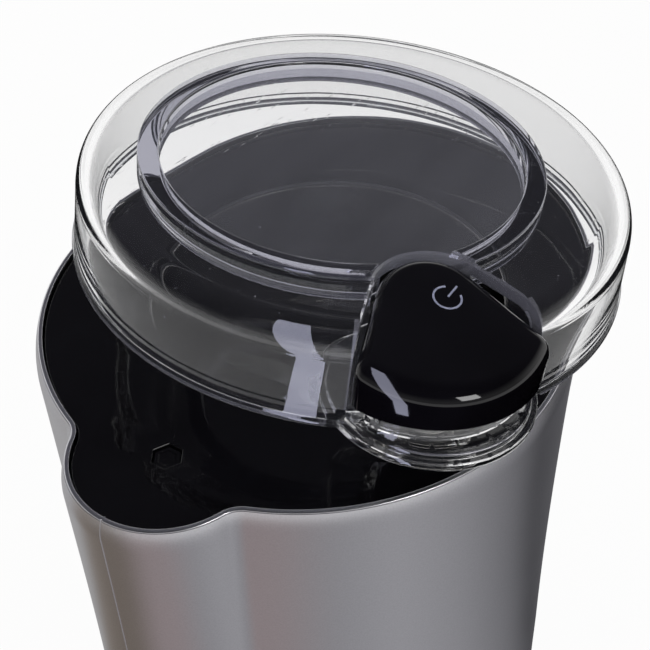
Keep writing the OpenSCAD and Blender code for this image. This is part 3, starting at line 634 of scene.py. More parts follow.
# ---- deck: gloss black plate just inside the rim, with the bowl opening and the hexagonal hole
deckPlan = {"gap": 0.95, "top": 151.0, "low": 148.6, "bevel": 0.35, "bowlR": 32.8, "spindleY": 8.0,
    "hexR": 2.75}


def flatPlate(name, outlines, low, high, bevel, steps=3):
    # a filled flat curve with bevelled edges; outlines are lists of points, the first is the rim
    curve = bpy.data.curves.new(name, "CURVE")
    curve.dimensions = "2D"
    curve.fill_mode = "BOTH"
    curve.extrude = (high - low) / 2 * mm - bevel * mm
    curve.bevel_depth = bevel * mm
    curve.bevel_resolution = steps
    for points in outlines:
        spline = curve.splines.new("POLY")
        spline.points.add(len(points) - 1)
        for spot, (x, y) in zip(spline.points, points):
            spot.co = (x * mm, y * mm, 0, 1)
        spline.use_cyclic_u = True
    plate = bpy.data.objects.new(name, curve)
    scene.collection.objects.link(plate)
    graph = bpy.context.evaluated_depsgraph_get()
    mesh = bpy.data.meshes.new_from_object(plate.evaluated_get(graph))
    bpy.data.objects.remove(plate)
    mesh.transform(Matrix.Translation((0, 0, (low + high) / 2 * mm)))
    return skinPiece(name, mesh, 25, 1e-6)


def circleLoop(r, centre=(0, 0), count=96, start=0.0):
    return [(centre[0] + r * cos(start + 2 * pi * k / count),
        centre[1] + r * sin(start + 2 * pi * k / count)) for k in range(count)]


lobeCentre = (0, -bodyPlan["lobeY"])
spindle = (0, deckPlan["spindleY"])
deckPiece = flatPlate("glossDeck", [
    bodyLoop(-deckPlan["gap"] - deckPlan["bevel"]),
    circleLoop(deckPlan["bowlR"] + deckPlan["bevel"], spindle, 144),
    circleLoop(deckPlan["hexR"] + deckPlan["bevel"], lobeCentre, 6)], deckPlan["low"], deckPlan["top"],
    deckPlan["bevel"])
finishPiece(deckPiece, "base", "gloss_black", ["deck"])
print("deck ready:", len(deckPiece.data.polygons), "faces")

# ---- switch plunger under the hexagonal hole
plungerPlan = {"top": 150.4, "shoulder": 148.5, "hexR": 2.6, "collarR": 3.1, "collarLow": 147.2,
    "rodR": 1.6, "low": 128.3}


def hexLoop(r, z, centre=(0, 0)):
    return [(x, y, z) for x, y in circleLoop(r, centre, 6)]


headLoops = [hexLoop(plungerPlan["hexR"] - inset, plungerPlan[level] - drop, lobeCentre) for inset, level,
    drop in (
    (0, "shoulder", 0), (0, "top", 0.18), (0.18, "top", 0), (0.9, "top", 0), (1.05, "top", 0.1))]
plungerHead = makePiece("plungerHead", wrap(headLoops), None, 20)
collarTop = plungerPlan["shoulder"] + 0.02
stem = makePiece("plungerStem", lathe(roundPath([
    (0, plungerPlan["low"], 0), (plungerPlan["rodR"], plungerPlan["low"], 0.5),
    (plungerPlan["rodR"], plungerPlan["collarLow"], 0.15),
    (plungerPlan["collarR"], plungerPlan["collarLow"], 0.15), (plungerPlan["collarR"], collarTop, 0.15),
    (0, collarTop, 0)],
    3, False), 48, lobeCentre))
plungerHead = carve(plungerHead, stem, "UNION")
smooth(plungerHead, 25)
finishPiece(plungerHead, "plunger", "gloss_black", ["switch_plunger"])

# ---- lid frame: foot at height 0, lobe to -Y, then turned and tipped to where it stands
lidPose = {"lift": 152.3, "tipAxis": 150, "tipOut": 97, "tipDrop": 69, "tip": 7, "turn": 49}
axisAngle = radians(lidPose["tipAxis"])
tipPoint = Vector((lidPose["tipOut"] * sin(axisAngle), -lidPose["tipOut"] * cos(axisAngle),
    -lidPose["tipDrop"])) * mm
lidPlace = (Matrix.Translation((0, 0, lidPose["lift"] * mm)) @ Matrix.Translation(tipPoint)
            @ Matrix.Rotation(radians(lidPose["tip"]), 4, Vector((cos(axisAngle), sin(axisAngle), 0)))
            @ Matrix.Translation(-tipPoint) @ Matrix.Rotation(radians(lidPose["turn"]), 4, "Z"))

lid = {
    "footR": 48.2, "footH": 0.8, "footInR": 45.5, "wallR": 47.2, "shoulderR": 5.4, "top": 17.5, "wall": 2.2,
    "ringOut": 34.45, "ringIn": 30.85, "ringX": -2.6, "ringY": 0.6, "ringTop": 18.1, "ringLow": 12.5,
    "recessGap": 0.6, "recessWall": 1.6, "recessFloor": 2.2, "flangeR": 17.0, "flangeY": -40.5,
    "flangeH": 1.3, "stepR": 15.9,
    "railGap": 2.2, "railThick": 1.3, "railTop": 7.3, "tubeR": 3.4, "tubeTop": 6.2, "boreR": 2.05,
}
button = {
    "outerR": 19.0, "outerY": -36.3, "noseR": 8.8, "noseY": -37.2, "noseAngle": 29, "slope": 10.6,
    "high": 18.0,
    "skirt": 6.0, "edge": 3.0, "corner": 2.2, "thick": 1.6, "dome": 0.35, "travel": 3.5,
}


def shieldLoop(grow, corner=0.0, sides=10, outerSteps=40, noseSteps=28):
    # plan of the button: a nose, two straight sides and the outer arc; corner rounds where they meet
    noseR, outerR = button["noseR"] + grow - corner, button["outerR"] + grow - corner
    a = radians(button["noseAngle"])
    centre = Vector((0, button["noseY"]))
    outerCentre = Vector((0, button["outerY"]))
    touch = centre + Vector((cos(a), sin(a))) * noseR
    along = Vector((sin(a), -cos(a)))
    rel = touch - outerCentre
    half = rel.dot(along)
    run = -half + sqrt(half ** 2 - rel.length_squared + outerR ** 2)
    meet = touch + along * run
    meetAngle = atan2(meet.y - outerCentre.y, meet.x)
    points = []
    # right side of the nose round to the left
    for k in range(noseSteps):
        t = a + (pi - 2 * a) * k / noseSteps
        points.append((centre + Vector((cos(t), sin(t))) * noseR, Vector((cos(t), sin(t)))))
    sideNormal = Vector((-cos(a), sin(a)))
    leftTouch, leftMeet = Vector((-touch.x, touch.y)), Vector((-meet.x, meet.y))
    for k in range(sides):
        points.append((leftTouch.lerp(leftMeet, k / sides), sideNormal))
    startNormal = pi - a
    endNormal = pi - meetAngle
    for k in range(8):
        t = startNormal + (endNormal - startNormal) * k / 8
        points.append((leftMeet, Vector((cos(t), sin(t)))))
    span = (2 * pi + meetAngle) - (pi - meetAngle)
    for k in range(outerSteps):
        t = pi - meetAngle + span * k / outerSteps
        points.append((outerCentre + Vector((cos(t), sin(t))) * outerR, Vector((cos(t), sin(t)))))
    for k in range(8):
        t = meetAngle + (a - meetAngle) * k / 8
        points.append((meet, Vector((cos(t), sin(t)))))
    for k in range(sides):
        points.append((meet.lerp(touch, k / sides), Vector((cos(a), sin(a)))))
    return [tuple(point + normal * corner) for point, normal in points]


def shieldPrism(name, levels, corner=2.2):
    # levels are (outset, height)
    loops = [[(x, y, z) for x, y in shieldLoop(g, corner + g)] for g, z in levels]
    return makePiece(name, wrap(loops))


# ---- lid: thick clear shell
outerPath = [(0, 0), (lid["footR"] - 0.15, 0)] + roundPath([
    (lid["footR"] - 2, 0, 0), (lid["footR"], 0, 0.25), (lid["footR"], lid["footH"], 0.3),
    (lid["footR"] - 0.4, lid["footH"] + 0.35, 0.3),
    (lid["wallR"] + 0.03, 11.9, 0)], 4, False)[1:]
outerPath += [(lid["wallR"] + 0.04, 12.05), (lid["wallR"] - 0.01, 12.2)]
shoulderZ = lid["top"] - lid["shoulderR"]
outerPath += [(lid["wallR"] - lid["shoulderR"] + lid["shoulderR"] * cos(a),
    shoulderZ + lid["shoulderR"] * sin(a))
              for a in np.linspace(radians(2), pi / 2, 22)]
outerPath += [(38.0, lid["top"]), (0, lid["top"])]
innerRound = lid["shoulderR"] - lid["wall"]
innerR = lid["wallR"] - lid["wall"]
innerPath = [(0, -2), (lid["footInR"] + 0.3, -2), (lid["footInR"] + 0.3, -0.2)] + roundPath([
    (lid["footInR"], 0.3, 0), (lid["footInR"] - 0.1, 2.5, 3), (innerR, shoulderZ, 0)], 4, False)
innerPath += [(innerR - innerRound + innerRound * cos(a), shoulderZ + innerRound * sin(a))
              for a in np.linspace(radians(3), pi / 2, 18)]
innerPath += [(36, lid["top"] - lid["wall"]), (0, lid["top"] - lid["wall"])]
dome = makePiece("clearLid", lathe(outerPath, 192))
hollow = makePiece("hollow", lathe(innerPath, 192))
block = makePiece("block", lathe(outerPath, 192))
carve(dome, hollow)
ringPath = roundPath([
    (lid["ringIn"], lid["ringLow"], 0.3), (lid["ringOut"], lid["ringLow"], 0.3),
    (lid["ringOut"], lid["ringTop"], 0.3), (lid["ringIn"], lid["ringTop"], 0.3)], 4)
carve(dome, makePiece("ring", lathe(ringPath, 192, (lid["ringX"], lid["ringY"]), True)), "UNION")
recessOut = lid["recessGap"] + lid["recessWall"]
carve(block, shieldPrism("recessWall", [(recessOut, -1), (recessOut, 30)]), "INTERSECT")
carve(dome, block, "UNION")
flangePath = roundPath([
    (0, 0, 0), (lid["flangeR"], 0, 0.25), (lid["flangeR"], lid["flangeH"], 0.35),
    (lid["stepR"] + 0.05, lid["flangeH"] + 0.05, 0.15), (lid["stepR"], lid["recessFloor"], 0.3),
    (0, lid["recessFloor"], 0)], 4, False)
carve(dome, makePiece("flange", lathe(flangePath, 96, (0, lid["flangeY"]))), "UNION")
recess = shieldPrism("recess", [
    (lid["recessGap"], lid["recessFloor"]), (lid["recessGap"], lid["top"] - 0.35),
    (lid["recessGap"] + 0.35, lid["top"] + 0.05),
    (lid["recessGap"] + 0.8, lid["top"] + 2)])
carve(dome, recess)


def shieldTube(name, outsetOut, outsetIn, low, high):
    edge = 0.2
    section = [(outsetOut, low), (outsetOut, high - edge), (outsetOut - edge, high),
        (outsetIn + edge, high),
               (outsetIn, high - edge), (outsetIn, low)]
    loops = [[(x, y, z) for x, y in shieldLoop(g, 2.0)] for g, z in section]
    return makePiece(name, wrap(loops, False, True))


railIn = -lid["railGap"] - lid["railThick"]
carve(dome, shieldTube("rail", -lid["railGap"], railIn, lid["recessFloor"] - 0.2, lid["railTop"]), "UNION")
tubePath = roundPath([(0, 1, 0), (lid["tubeR"], 1, 0), (lid["tubeR"], lid["tubeTop"], 0.3),
    (0, lid["tubeTop"], 0)], 3, False)
carve(dome, makePiece("tube", lathe(tubePath, 48, lobeCentre)), "UNION")
carve(dome, makePiece("bore", lathe([(0, -2), (lid["boreR"], -2), (lid["boreR"], 20), (0, 20)], 48,
    lobeCentre)))

# the finish of each face of the lid: 0 clear, 1 the window, 2 the ring, 3 the walls of the recess
recessEdge = np.array(shieldLoop(lid["recessGap"] + 0.2, button["corner"], 30, 90, 60)) * mm
spots = np.array([v.co for v in dome.data.vertices])
fromRing = np.hypot(spots[:, 0] - lid["ringX"] * mm, spots[:, 1] - lid["ringY"] * mm)
fromRecess = np.array([np.min(np.hypot(*(recessEdge - spot).T)) for spot in spots[:, :2]])
kinds = []
for face in dome.data.polygons:
    own = list(face.vertices)
    rings, heights = fromRing[own], spots[own, 2]
    if fromRecess[own].max() < 0.75 * mm and heights.min() > (lid["recessFloor"] - 0.2) * mm:
        kinds.append(3)
    elif rings.max() < (lid["ringOut"] + 0.06) * mm and rings.min() > (lid["ringIn"] - 0.06) * mm:
        kinds.append(2)
    elif rings.max() < (lid["ringIn"] + 0.06) * mm and heights.min() > 14 * mm:
        kinds.append(1)
    else:
        kinds.append(0)
dome.data.transform(lidPlace)
smooth(dome, 28)
finishPiece(dome, "lid", "clear_lid", ["lid_shell"])
for finish in lidFinishes:
    dome.data.materials.append(finish)
dome.data.polygons.foreach_set("material_index", kinds)
print("lid faces by finish:", [kinds.count(k) for k in range(4)])
print("lid ready:", len(dome.data.polygons), "faces")

# ---- seal under the foot of the lid
sealPlan = {"outR": 46.9, "inR": 45.3, "high": -0.05, "low": -0.8}
sealPath = roundPath([(sealPlan[side], sealPlan[level], r) for side, level, r in (
    ("inR", "low", 0.2), ("outR", "low", 0.35), ("outR", "high", 0.1), ("inR", "high", 0.1))], 3)
finishPiece(makePiece("lidSeal", lathe(sealPath, 160, (0, 0), True), lidPlace), "lid_ring",
    "clear_silicone", ["lid_seal"])

# ---- button: gloss black cap with a sloping top and wide rounded edges
noseTip = button["noseY"] + button["noseR"]
slopeTan = tan(radians(button["slope"]))


def buttonTop(y):
    return button["high"] + (y - noseTip) * slopeTan


def cornerAt(inset):
    return max(0.4, button["corner"] - inset * 0.6)


capLoops = []
for inset, rise in ((0.25, 0.0), (0.08, 0.1), (0.0, 0.35)):
    capLoops.append([(x, y, button["skirt"] + rise) for x, y in shieldLoop(-inset, button["corner"])])
for k in range(11):
    a = pi / 2 * k / 10
    inset, drop = button["edge"] * (1 - cos(a)), button["edge"] * (1 - sin(a))
    capLoops.append([(x, y, buttonTop(y) - drop) for x, y in shieldLoop(-inset, cornerAt(inset))])
heart = Vector((0, -41.0))
rimLoop = shieldLoop(-button["edge"], cornerAt(button["edge"]))
for share in np.linspace(0.94, 0.06, 12):
    rise = button["dome"] * (1 - share ** 2)
    capLoops.append([(heart.x + (x - heart.x) * share, heart.y + (y - heart.y) * share,
                      buttonTop(heart.y + (y - heart.y) * share) + rise) for x, y in rimLoop])
innerLoops = []
for inset, drop in ((button["thick"], 3.2), (button["thick"] + 0.5, 2.0), (button["thick"] + 3, 1.8)):
    innerLoops.append([(x, y, buttonTop(y) - drop) for x, y in shieldLoop(-inset, 1.5)])
mouth = [(x, y, button["skirt"]) for x, y in shieldLoop(-button["thick"], 2.0)]
capPiece = makePiece("buttonCap", wrap(innerLoops[::-1] + [mouth] + capLoops), None, 35)
post = {"r": 5.6, "low": 11.0, "high": 14.6}
postPath = roundPath([
    (0, post["low"], 0), (post["r"], post["low"], 0.3), (post["r"], post["high"], 0), (0, post["high"], 0)],
    3, False)
capPiece = carve(capPiece, makePiece("post", lathe(postPath, 64, lobeCentre)), "UNION")
capPiece.data.transform(lidPlace)
smooth(capPiece, 35)
finishPiece(capPiece, "button", "gloss_black", ["button_cap"])
print("button ready:", len(capPiece.data.polygons), "faces")

# ---- power mark printed on the button: an open ring and a bar
mark = {"x": 1.7, "y": -38.0, "r": 2.15, "wide": 0.3, "gap": 38, "barLow": 0.2, "barHigh": 2.9,
    "proud": 0.03, "turn": -49}


def printed(path):
    # a thin raised line that follows the top of the button
    loops = []
    for i, (x, y) in enumerate(path):
        ahead = Vector(path[min(i + 1, len(path) - 1)]) - Vector(path[max(i - 1, 0)])
        side = Vector((-ahead.y, ahead.x)).normalized() * mark["wide"] / 2
        left, rightEdge = Vector((x, y)) + side, Vector((x, y)) - side
        loops.append([(spot.x, spot.y, buttonTop(spot.y) + onDome(spot) + rise) for spot, rise in (
            (left, -0.1), (left, mark["proud"]), (rightEdge, mark["proud"]), (rightEdge, -0.1))])
    return wrap(loops)


def onDome(spot):
    # how far the crowned top stands over its plane at this point
    share = (Vector(spot) - heart).length / ((button["outerR"] + button["noseR"]) / 2)
    return button["dome"] * max(0, 1 - share ** 2)


markTurn = Matrix.Rotation(radians(mark["turn"]), 2)
markCentre = Vector((mark["x"], mark["y"]))
arc = [tuple(markCentre + markTurn @ Vector((mark["r"] * cos(a), mark["r"] * sin(a))))
       for a in np.linspace(radians(90 + mark["gap"]), radians(450 - mark["gap"]), 49)]
bar = [tuple(markCentre + markTurn @ Vector((0, y)))
    for y in np.linspace(mark["barLow"], mark["barHigh"], 9)]
arcPiece = makePiece("powerMark", printed(arc), None, 40)
carve(arcPiece, makePiece("powerBar", printed(bar), None, 40), "UNION")
arcPiece.data.transform(lidPlace)
smooth(arcPiece, 40)
finishPiece(arcPiece, "button", "gloss_black", (), printedInk())
print("mark ready")


# ---- round wire springs, one Geometry Nodes tree with its sizes as inputs
def springTree():
    group = bpy.data.node_groups.new("roundWireSpring", "GeometryNodeTree")
    face = group.interface
    face.new_socket("Geometry", in_out="OUTPUT", socket_type="NodeSocketGeometry")
    for name, kind in (("Radius", "Float"), ("Wire", "Float"), ("Height", "Float"), ("Turns", "Float"),
            ("Finish", "Material")):
        face.new_socket(name, in_out="INPUT", socket_type="NodeSocket" + kind)
    take = group.nodes.new("NodeGroupInput").outputs
    line = addNode(group, "GeometryNodeCurvePrimitiveLine", {}, {"End": (0, 0, 1)})
    fine = addNode(group, "GeometryNodeResampleCurve", {}, {"Curve": line, "Count": 260})
    share = addNode(group, "GeometryNodeSplineParameter").outputs["Factor"]
    turned = addNode(group, "ShaderNodeMath", {"operation": "MULTIPLY"}, {0: share, 1: take["Turns"]})
    angle = addNode(group, "ShaderNodeMath", {"operation": "MULTIPLY"}, {0: turned, 1: 2 * pi})
    # the end coils lie close, the ones between share the rest of the height
    close = addNode(group, "ShaderNodeMath", {"operation": "MULTIPLY"}, {0: take["Wire"], 1: 2.1})
    lift = addNode(group, "ShaderNodeMath", {"operation": "MULTIPLY"}, {0: turned, 1: close})
    lastTurn = addNode(group, "ShaderNodeMath", {"operation": "SUBTRACT"}, {0: take["Turns"], 1: 1.0})
    closed = addNode(group, "ShaderNodeMath", {"operation": "MULTIPLY"}, {0: take["Turns"], 1: close})
    solid = addNode(group, "ShaderNodeMath", {"operation": "MULTIPLY_ADD"},
        {0: take["Wire"], 1: 2.0, 2: closed})
    room = addNode(group, "ShaderNodeMath", {"operation": "SUBTRACT"}, {0: take["Height"], 1: solid})
    stretched = addNode(group, "ShaderNodeMapRange", {},
        {"Value": turned, "From Min": 1.0, "From Max": lastTurn, "To Max": room})
    high = addNode(group, "ShaderNodeMath", {"operation": "ADD"}, {0: lift, 1: stretched})
    raised = addNode(group, "ShaderNodeMath", {"operation": "ADD"}, {0: high, 1: take["Wire"]})
    parts = []
    for kind in ("COSINE", "SINE"):
        turn = addNode(group, "ShaderNodeMath", {"operation": kind}, {0: angle})
        parts.append(addNode(group, "ShaderNodeMath", {"operation": "MULTIPLY"},
            {0: turn, 1: take["Radius"]}))
    spot = addNode(group, "ShaderNodeCombineXYZ", {}, {0: parts[0], 1: parts[1], 2: raised})
    coil = addNode(group, "GeometryNodeSetPosition", {}, {"Geometry": fine, "Position": spot})
    section = addNode(group, "GeometryNodeCurvePrimitiveCircle", {},
        {"Resolution": 12, "Radius": take["Wire"]})
    wire = addNode(group, "GeometryNodeCurveToMesh", {},
        {"Curve": coil, "Profile Curve": section, "Fill Caps": True})
    real = addNode(group, "GeometryNodeRealizeInstances", {}, {"Geometry": wire})
    painted = addNode(group, "GeometryNodeSetMaterial", {}, {"Geometry": real, "Material": take["Finish"]})
    addNode(group, "NodeGroupOutput", {}, {0: painted})
    return group


def grow(name, group, values, points=((0, 0, 0),)):
    # runs a tree on a few points and keeps the result as a plain mesh
    mesh = bpy.data.meshes.new(name)
    mesh.from_pydata([tuple(c * mm for c in spot) for spot in points], [], [])
    piece = bpy.data.objects.new(name, mesh)
    scene.collection.objects.link(piece)
    made = piece.modifiers.new("made", "NODES")
    made.node_group = group
    for item in group.interface.items_tree:
        if item.in_out == "INPUT" and item.name in values:
            made[item.identifier] = values[item.name]
    return settle(piece)


springs = {
    # name: radius, wire radius, height, turns, places, body, replaced node, the joint that presses it and
    # its travel
    "buttonSpring": (4.4, 0.35, 8.8, 5, [lidPlace @ Matrix.Translation((0, -41.3 * mm, 2.2 * mm))],
                     "lid", "button_spring", "button_press", button["travel"]),
    "plungerSpring": (2.45, 0.28, 13.2, 7, [Matrix.Translation((0, -41.3 * mm, 134 * mm))],
                      "base", "plunger_spring", "plunger_press", 2.3),
    "brushSprings": (1.8, 0.25, 7.8, 7, [
        Matrix.Translation((side * 17 * mm, 8 * mm, 53.5 * mm)) @ Matrix.Rotation(side * pi / 2, 4, "Y")
        for side in (-1, 1)],
        "base", "brush_springs", None, 0),
}
coilTree = springTree()
for name, (radius, wireR, high, turns, places, body, node, joint, travel) in springs.items():
    coils = []
    for k, place in enumerate(places):
        coil = grow(name + str(k), coilTree, {
            "Radius": radius * mm, "Wire": wireR * mm, "Height": high * mm, "Turns": float(turns),
            "Finish": finishes["spring_steel"]})
        coil.data.transform(place)
        coils.append(coil)
    build = bmesh.new()
    for coil in coils:
        build.from_mesh(coil.data)
        bpy.data.objects.remove(coil)
    mesh = bpy.data.meshes.new(name)
    build.to_mesh(mesh)
    build.free()
    spring = skinPiece(name, mesh, 60, None)
    finishPiece(spring, body, "spring_steel", [node])
    if joint:
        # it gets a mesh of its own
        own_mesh(spring)
print("springs ready")

# ---- plinth: satin black skirt round the foot of the sleeve, with the bush for the lead at the back
plinth = {"out": 2.6, "thick": 2.4, "low": 2.5, "topRound": 1.3, "footRound": 1.0, "glandZ": 13,
    "glandR": 5.0, "seatR": 7.0, "groove": 0.35}
inside = plinth["out"] - plinth["thick"]
plinthSection = roundPath([
    (plinth["out"], plinth["low"], plinth["footRound"]), (plinth["out"], 19.6, 0.1),
    (plinth["out"] - plinth["groove"], 19.9, 0.1),
    (plinth["out"] - plinth["groove"], 20.5, 0.1), (plinth["out"], 20.8, 0.1),
    (plinth["out"], bodyPlan["plinthZ"], plinth["topRound"]), (-1.4, bodyPlan["plinthZ"], 0.2),
    (-1.4, 22, 0.2), (inside, 22, 0.4),
    (inside, plinth["low"], 0.2)], 4)
plinthPiece = makePiece("plinthSkirt", lobed(plinthSection, True, None, lambda z: bodyPlan["backIn"]), None,
    30)
backEdge = bodyPlan["backY"] + bodyPlan["backR"] - bodyPlan["backIn"] + plinth["out"]
toBack = Matrix.Translation((0, 0, plinth["glandZ"] * mm)) @ Matrix.Rotation(-pi / 2, 4, "X")
seatLow, seatHigh = backEdge - 7, backEdge - 1.2
seatPath = roundPath([
    (0, seatLow, 0), (plinth["seatR"], seatLow, 0.5), (plinth["seatR"], seatHigh, 0), (0, seatHigh, 0)], 3,
    False)
carve(plinthPiece, makePiece("seat", lathe(seatPath, 64), toBack), "UNION")
holePath = [(r, backEdge + along) for r, along in ((0, -12), (plinth["glandR"], -12), (plinth["glandR"], 6),
    (0, 6))]
carve(plinthPiece, makePiece("seatHole", lathe(holePath, 64), toBack))
smooth(plinthPiece, 30)
finishPiece(plinthPiece, "base", "satin_black", ["plinth", "gland_seat"])

# ---- bush for the lead: soft rubber with a flange each side of the wall
bush = {"r": 4.95, "flangeR": 6.4, "flangeH": 1.8, "innerR": 6.2, "boreR": 3.1, "inner": -9, "seat": -7.05,
    "outer": 0.03}
bushPath = roundPath([(r, backEdge + along, edge) for r, along, edge in (
    (bush["boreR"], bush["inner"], 0.2), (bush["innerR"], bush["inner"], 0.5),
    (bush["innerR"], bush["seat"], 0.3),
    (bush["r"], bush["seat"], 0.1), (bush["r"], bush["outer"], 0.1), (bush["flangeR"], bush["outer"], 0.2),
    (bush["flangeR"], bush["flangeH"], 0.9), (bush["boreR"] + 0.8, bush["flangeH"], 0.5),
    (bush["boreR"], 0.6, 0.6))], 4)
finishPiece(makePiece("leadBush", lathe(bushPath, 64, (0, 0), True), toBack), "base", "soft_rubber",
    ["cable_gland"])
print("plinth ready")

# ---- base cover with air slots, screw holes and foot holes
cover = {"low": 2.5, "high": 4.9, "bevel": 0.35, "screwHole": 1.7, "footHole": 2.2, "slots": 9,
    "slotIn": 15.0, "slotOut": 25.0, "slotWide": 2.4}
screwSpots = [(-39, -10.5), (39, -10.5), (-33, 30), (33, 30)]
footSpots = [(-20, 44), (20, 44), (-27, -27), (27, -27)]


def slotLoop(angle, grown):
    half = cover["slotWide"] / 2 + grown
    ends = [arcPoints(half, (cover["slotOut"] - cover["slotWide"] / 2, 0), -pi / 2, pi / 2, 10),
            arcPoints(half, (cover["slotIn"] + cover["slotWide"] / 2, 0), pi / 2, 1.5 * pi, 10)]
    return [(x * cos(angle) - y * sin(angle), x * sin(angle) + y * cos(angle)) for x,
        y in ends[0] + ends[1]]


outlines = [bodyLoop(-cover["bevel"], bodyPlan["backIn"])]
outlines += [circleLoop(cover["screwHole"] + cover["bevel"], spot, 32) for spot in screwSpots]
outlines += [circleLoop(cover["footHole"] + cover["bevel"], spot, 32) for spot in footSpots]
outlines += [slotLoop(radians(20 + 360 * k / cover["slots"]), cover["bevel"])
    for k in range(cover["slots"])]
finishPiece(flatPlate("baseCover", outlines, cover["low"], cover["high"], cover["bevel"]), "base",
    "satin_black", ["base_cover"])


# ---- screws and feet: one pattern piece set on points by a Geometry Nodes tree
def setOutTree():
    group = bpy.data.node_groups.new("setOutOnPoints", "GeometryNodeTree")
    face = group.interface
    face.new_socket("Geometry", in_out="OUTPUT", socket_type="NodeSocketGeometry")
    for name, kind in (("Geometry", "Geometry"), ("Pattern", "Object"), ("Size", "Float"), ("Seed", "Int"),
            ("Finish", "Material")):
        face.new_socket(name, in_out="INPUT", socket_type="NodeSocket" + kind)
    take = group.nodes.new("NodeGroupInput").outputs
    pattern = addNode(group, "GeometryNodeObjectInfo", {}, {"Object": take["Pattern"], "As Instance": True})
    spin = addNode(group, "FunctionNodeRandomValue", {"data_type": "FLOAT"},
        {3: 2 * pi, "Seed": take["Seed"]})
    turned = addNode(group, "ShaderNodeCombineXYZ", {}, {2: spin.outputs[1]})
    points = addNode(group, "GeometryNodeMeshToPoints", {}, {0: take["Geometry"]})
    placed = addNode(group, "GeometryNodeInstanceOnPoints", {}, {
        "Points": points, "Instance": pattern.outputs["Geometry"], "Rotation": turned,
        "Scale": take["Size"]})
    real = addNode(group, "GeometryNodeRealizeInstances", {}, {"Geometry": placed})
    painted = addNode(group, "GeometryNodeSetMaterial", {}, {"Geometry": real, "Material": take["Finish"]})
    addNode(group, "NodeGroupOutput", {}, {0: painted})
    return group


setOut = setOutTree()


def screwPattern(headR, headH, slotLong, slotDeep, shankR, shankH, pitch=0.9):
    # domed head downwards, cross slot, ridged shank
    path = roundPath([(0, -headH, 0), (headR, -headH, 0.6), (headR, 0, 0.15), (shankR, 0, 0)], 4, False)
    z = 0.8
    while z < shankH - 1.5:
        path += [(shankR, z), (shankR - 0.22, z + pitch * 0.5)]
        z += pitch
    path += [(shankR, shankH - 1.2), (shankR * 0.5, shankH), (0, shankH)]
    body = makePiece("screw", lathe(path, 40), None, 40)
    for wide, long in ((0.8, slotLong), (slotLong, 0.8)):
        low, high = -headH - 1, -headH + slotDeep
        block = [[(x * wide / 2, y * long / 2, z) for x, y in ((-1, -1), (1, -1), (1, 1), (-1, 1))]
            for z in (low, high)]
        carve(body, makePiece("slot", wrap(block), None, 20))
    return body


def setPieces(name, pattern, spots, body, slotName, node, seed):
    piece = grow(name, setOut, {"Pattern": pattern, "Size": 1.0, "Seed": seed,
        "Finish": finishes[slotName]}, spots)
    bpy.data.objects.remove(pattern)
    smooth(piece, 35)
    return finishPiece(piece, body, slotName, [node])


motorSpots = [(x * 22.5, spindle[1] + y * 22.5, 44) for x in (-1, 1) for y in (-1, 1)]
screws = {
    # name: head radius and height, slot length and depth, shank radius and length, places, replaced node,
    # seed
    "baseScrews": (3.0, 1.6, 4.0, 0.7, 1.5, 12, [(x, y, cover["low"]) for x, y in screwSpots],
        "base_screws", 3),
    "motorScrews": (3.4, 2.0, 4.8, 0.8, 1.9, 62.5, motorSpots, "motor_screws", 5),
}
for name, (*sizes, screwAt, node, seed) in screws.items():
    setPieces(name, screwPattern(*sizes), screwAt, "base", "screw_steel", node, seed)
# foot: a pad with a hollow middle, a neck through the cover and a barbed stem
footPath = roundPath([
    (0, 0.5, 0), (3.0, 0.5, 0.4), (3.5, 0, 0.3), (5.6, 0, 0.7), (6.4, 2.47, 0.2), (2.15, 2.47, 0.1),
    (2.15, 4.93, 0.1), (3.0, 4.93, 0.2),
    (2.0, 6.1, 0.3), (0, 6.1, 0)], 4, False)
setPieces("rubberFeet", makePiece("foot", lathe(footPath, 48), None, 35), [(x, y, 0) for x, y in footSpots],
    "base", "soft_rubber", "rubber_feet", 7)
print("base ready")

# ---- bowl: drawn from one sheet, rolled lip, rounded floor with a raised spindle seat
bowl = {"r": 32.5, "thick": 0.6, "flangeR": 35.0, "top": 148.0, "floor": 115.0, "round": 7.0, "holeR": 5.65}
bowlSection = []
for outer, drop, corners in (
        (0, 0, (("flangeR", "top", 0, 0.15), ("r", "top", 0, 0.5), ("r", "floor", 0, bowl["round"]),
            (10.6, "floor", 0, 0.6),
                (8.8, "floor", 1, 0.6), ("holeR", "floor", 1, 0.1))),
        (bowl["thick"], bowl["thick"], (
            ("holeR", "floor", 1, 0.1), (8.6, "floor", 1, 0.5), (10.4, "floor", 0, 0.6),
            ("r", "floor", 0, bowl["round"] + bowl["thick"]), ("r", "top", 0, 0.3),
            ("flangeR", "top", 0, 0.15)))):
    for radius, level, rise, edge in corners:
        across = radius if radius not in bowl else bowl[radius] + (outer if radius == "r" else 0)
        bowlSection.append((across, bowl[level] + rise - drop, edge))
bowlSkin = lathe(roundPath(bowlSection, 8), 160, spindle, True)
finishPiece(makePiece("grindingBowl", bowlSkin, None, 40), "base", "bowl_steel", ["grinding_bowl"])

# ---- blade: two ground arms, one bent up and one down
blade = {"z": 120.8, "thick": 1.6, "reach": 27.0, "flat": 12.0, "bends": (14, -10), "hubR": 7.0,
    "holeR": 3.0}


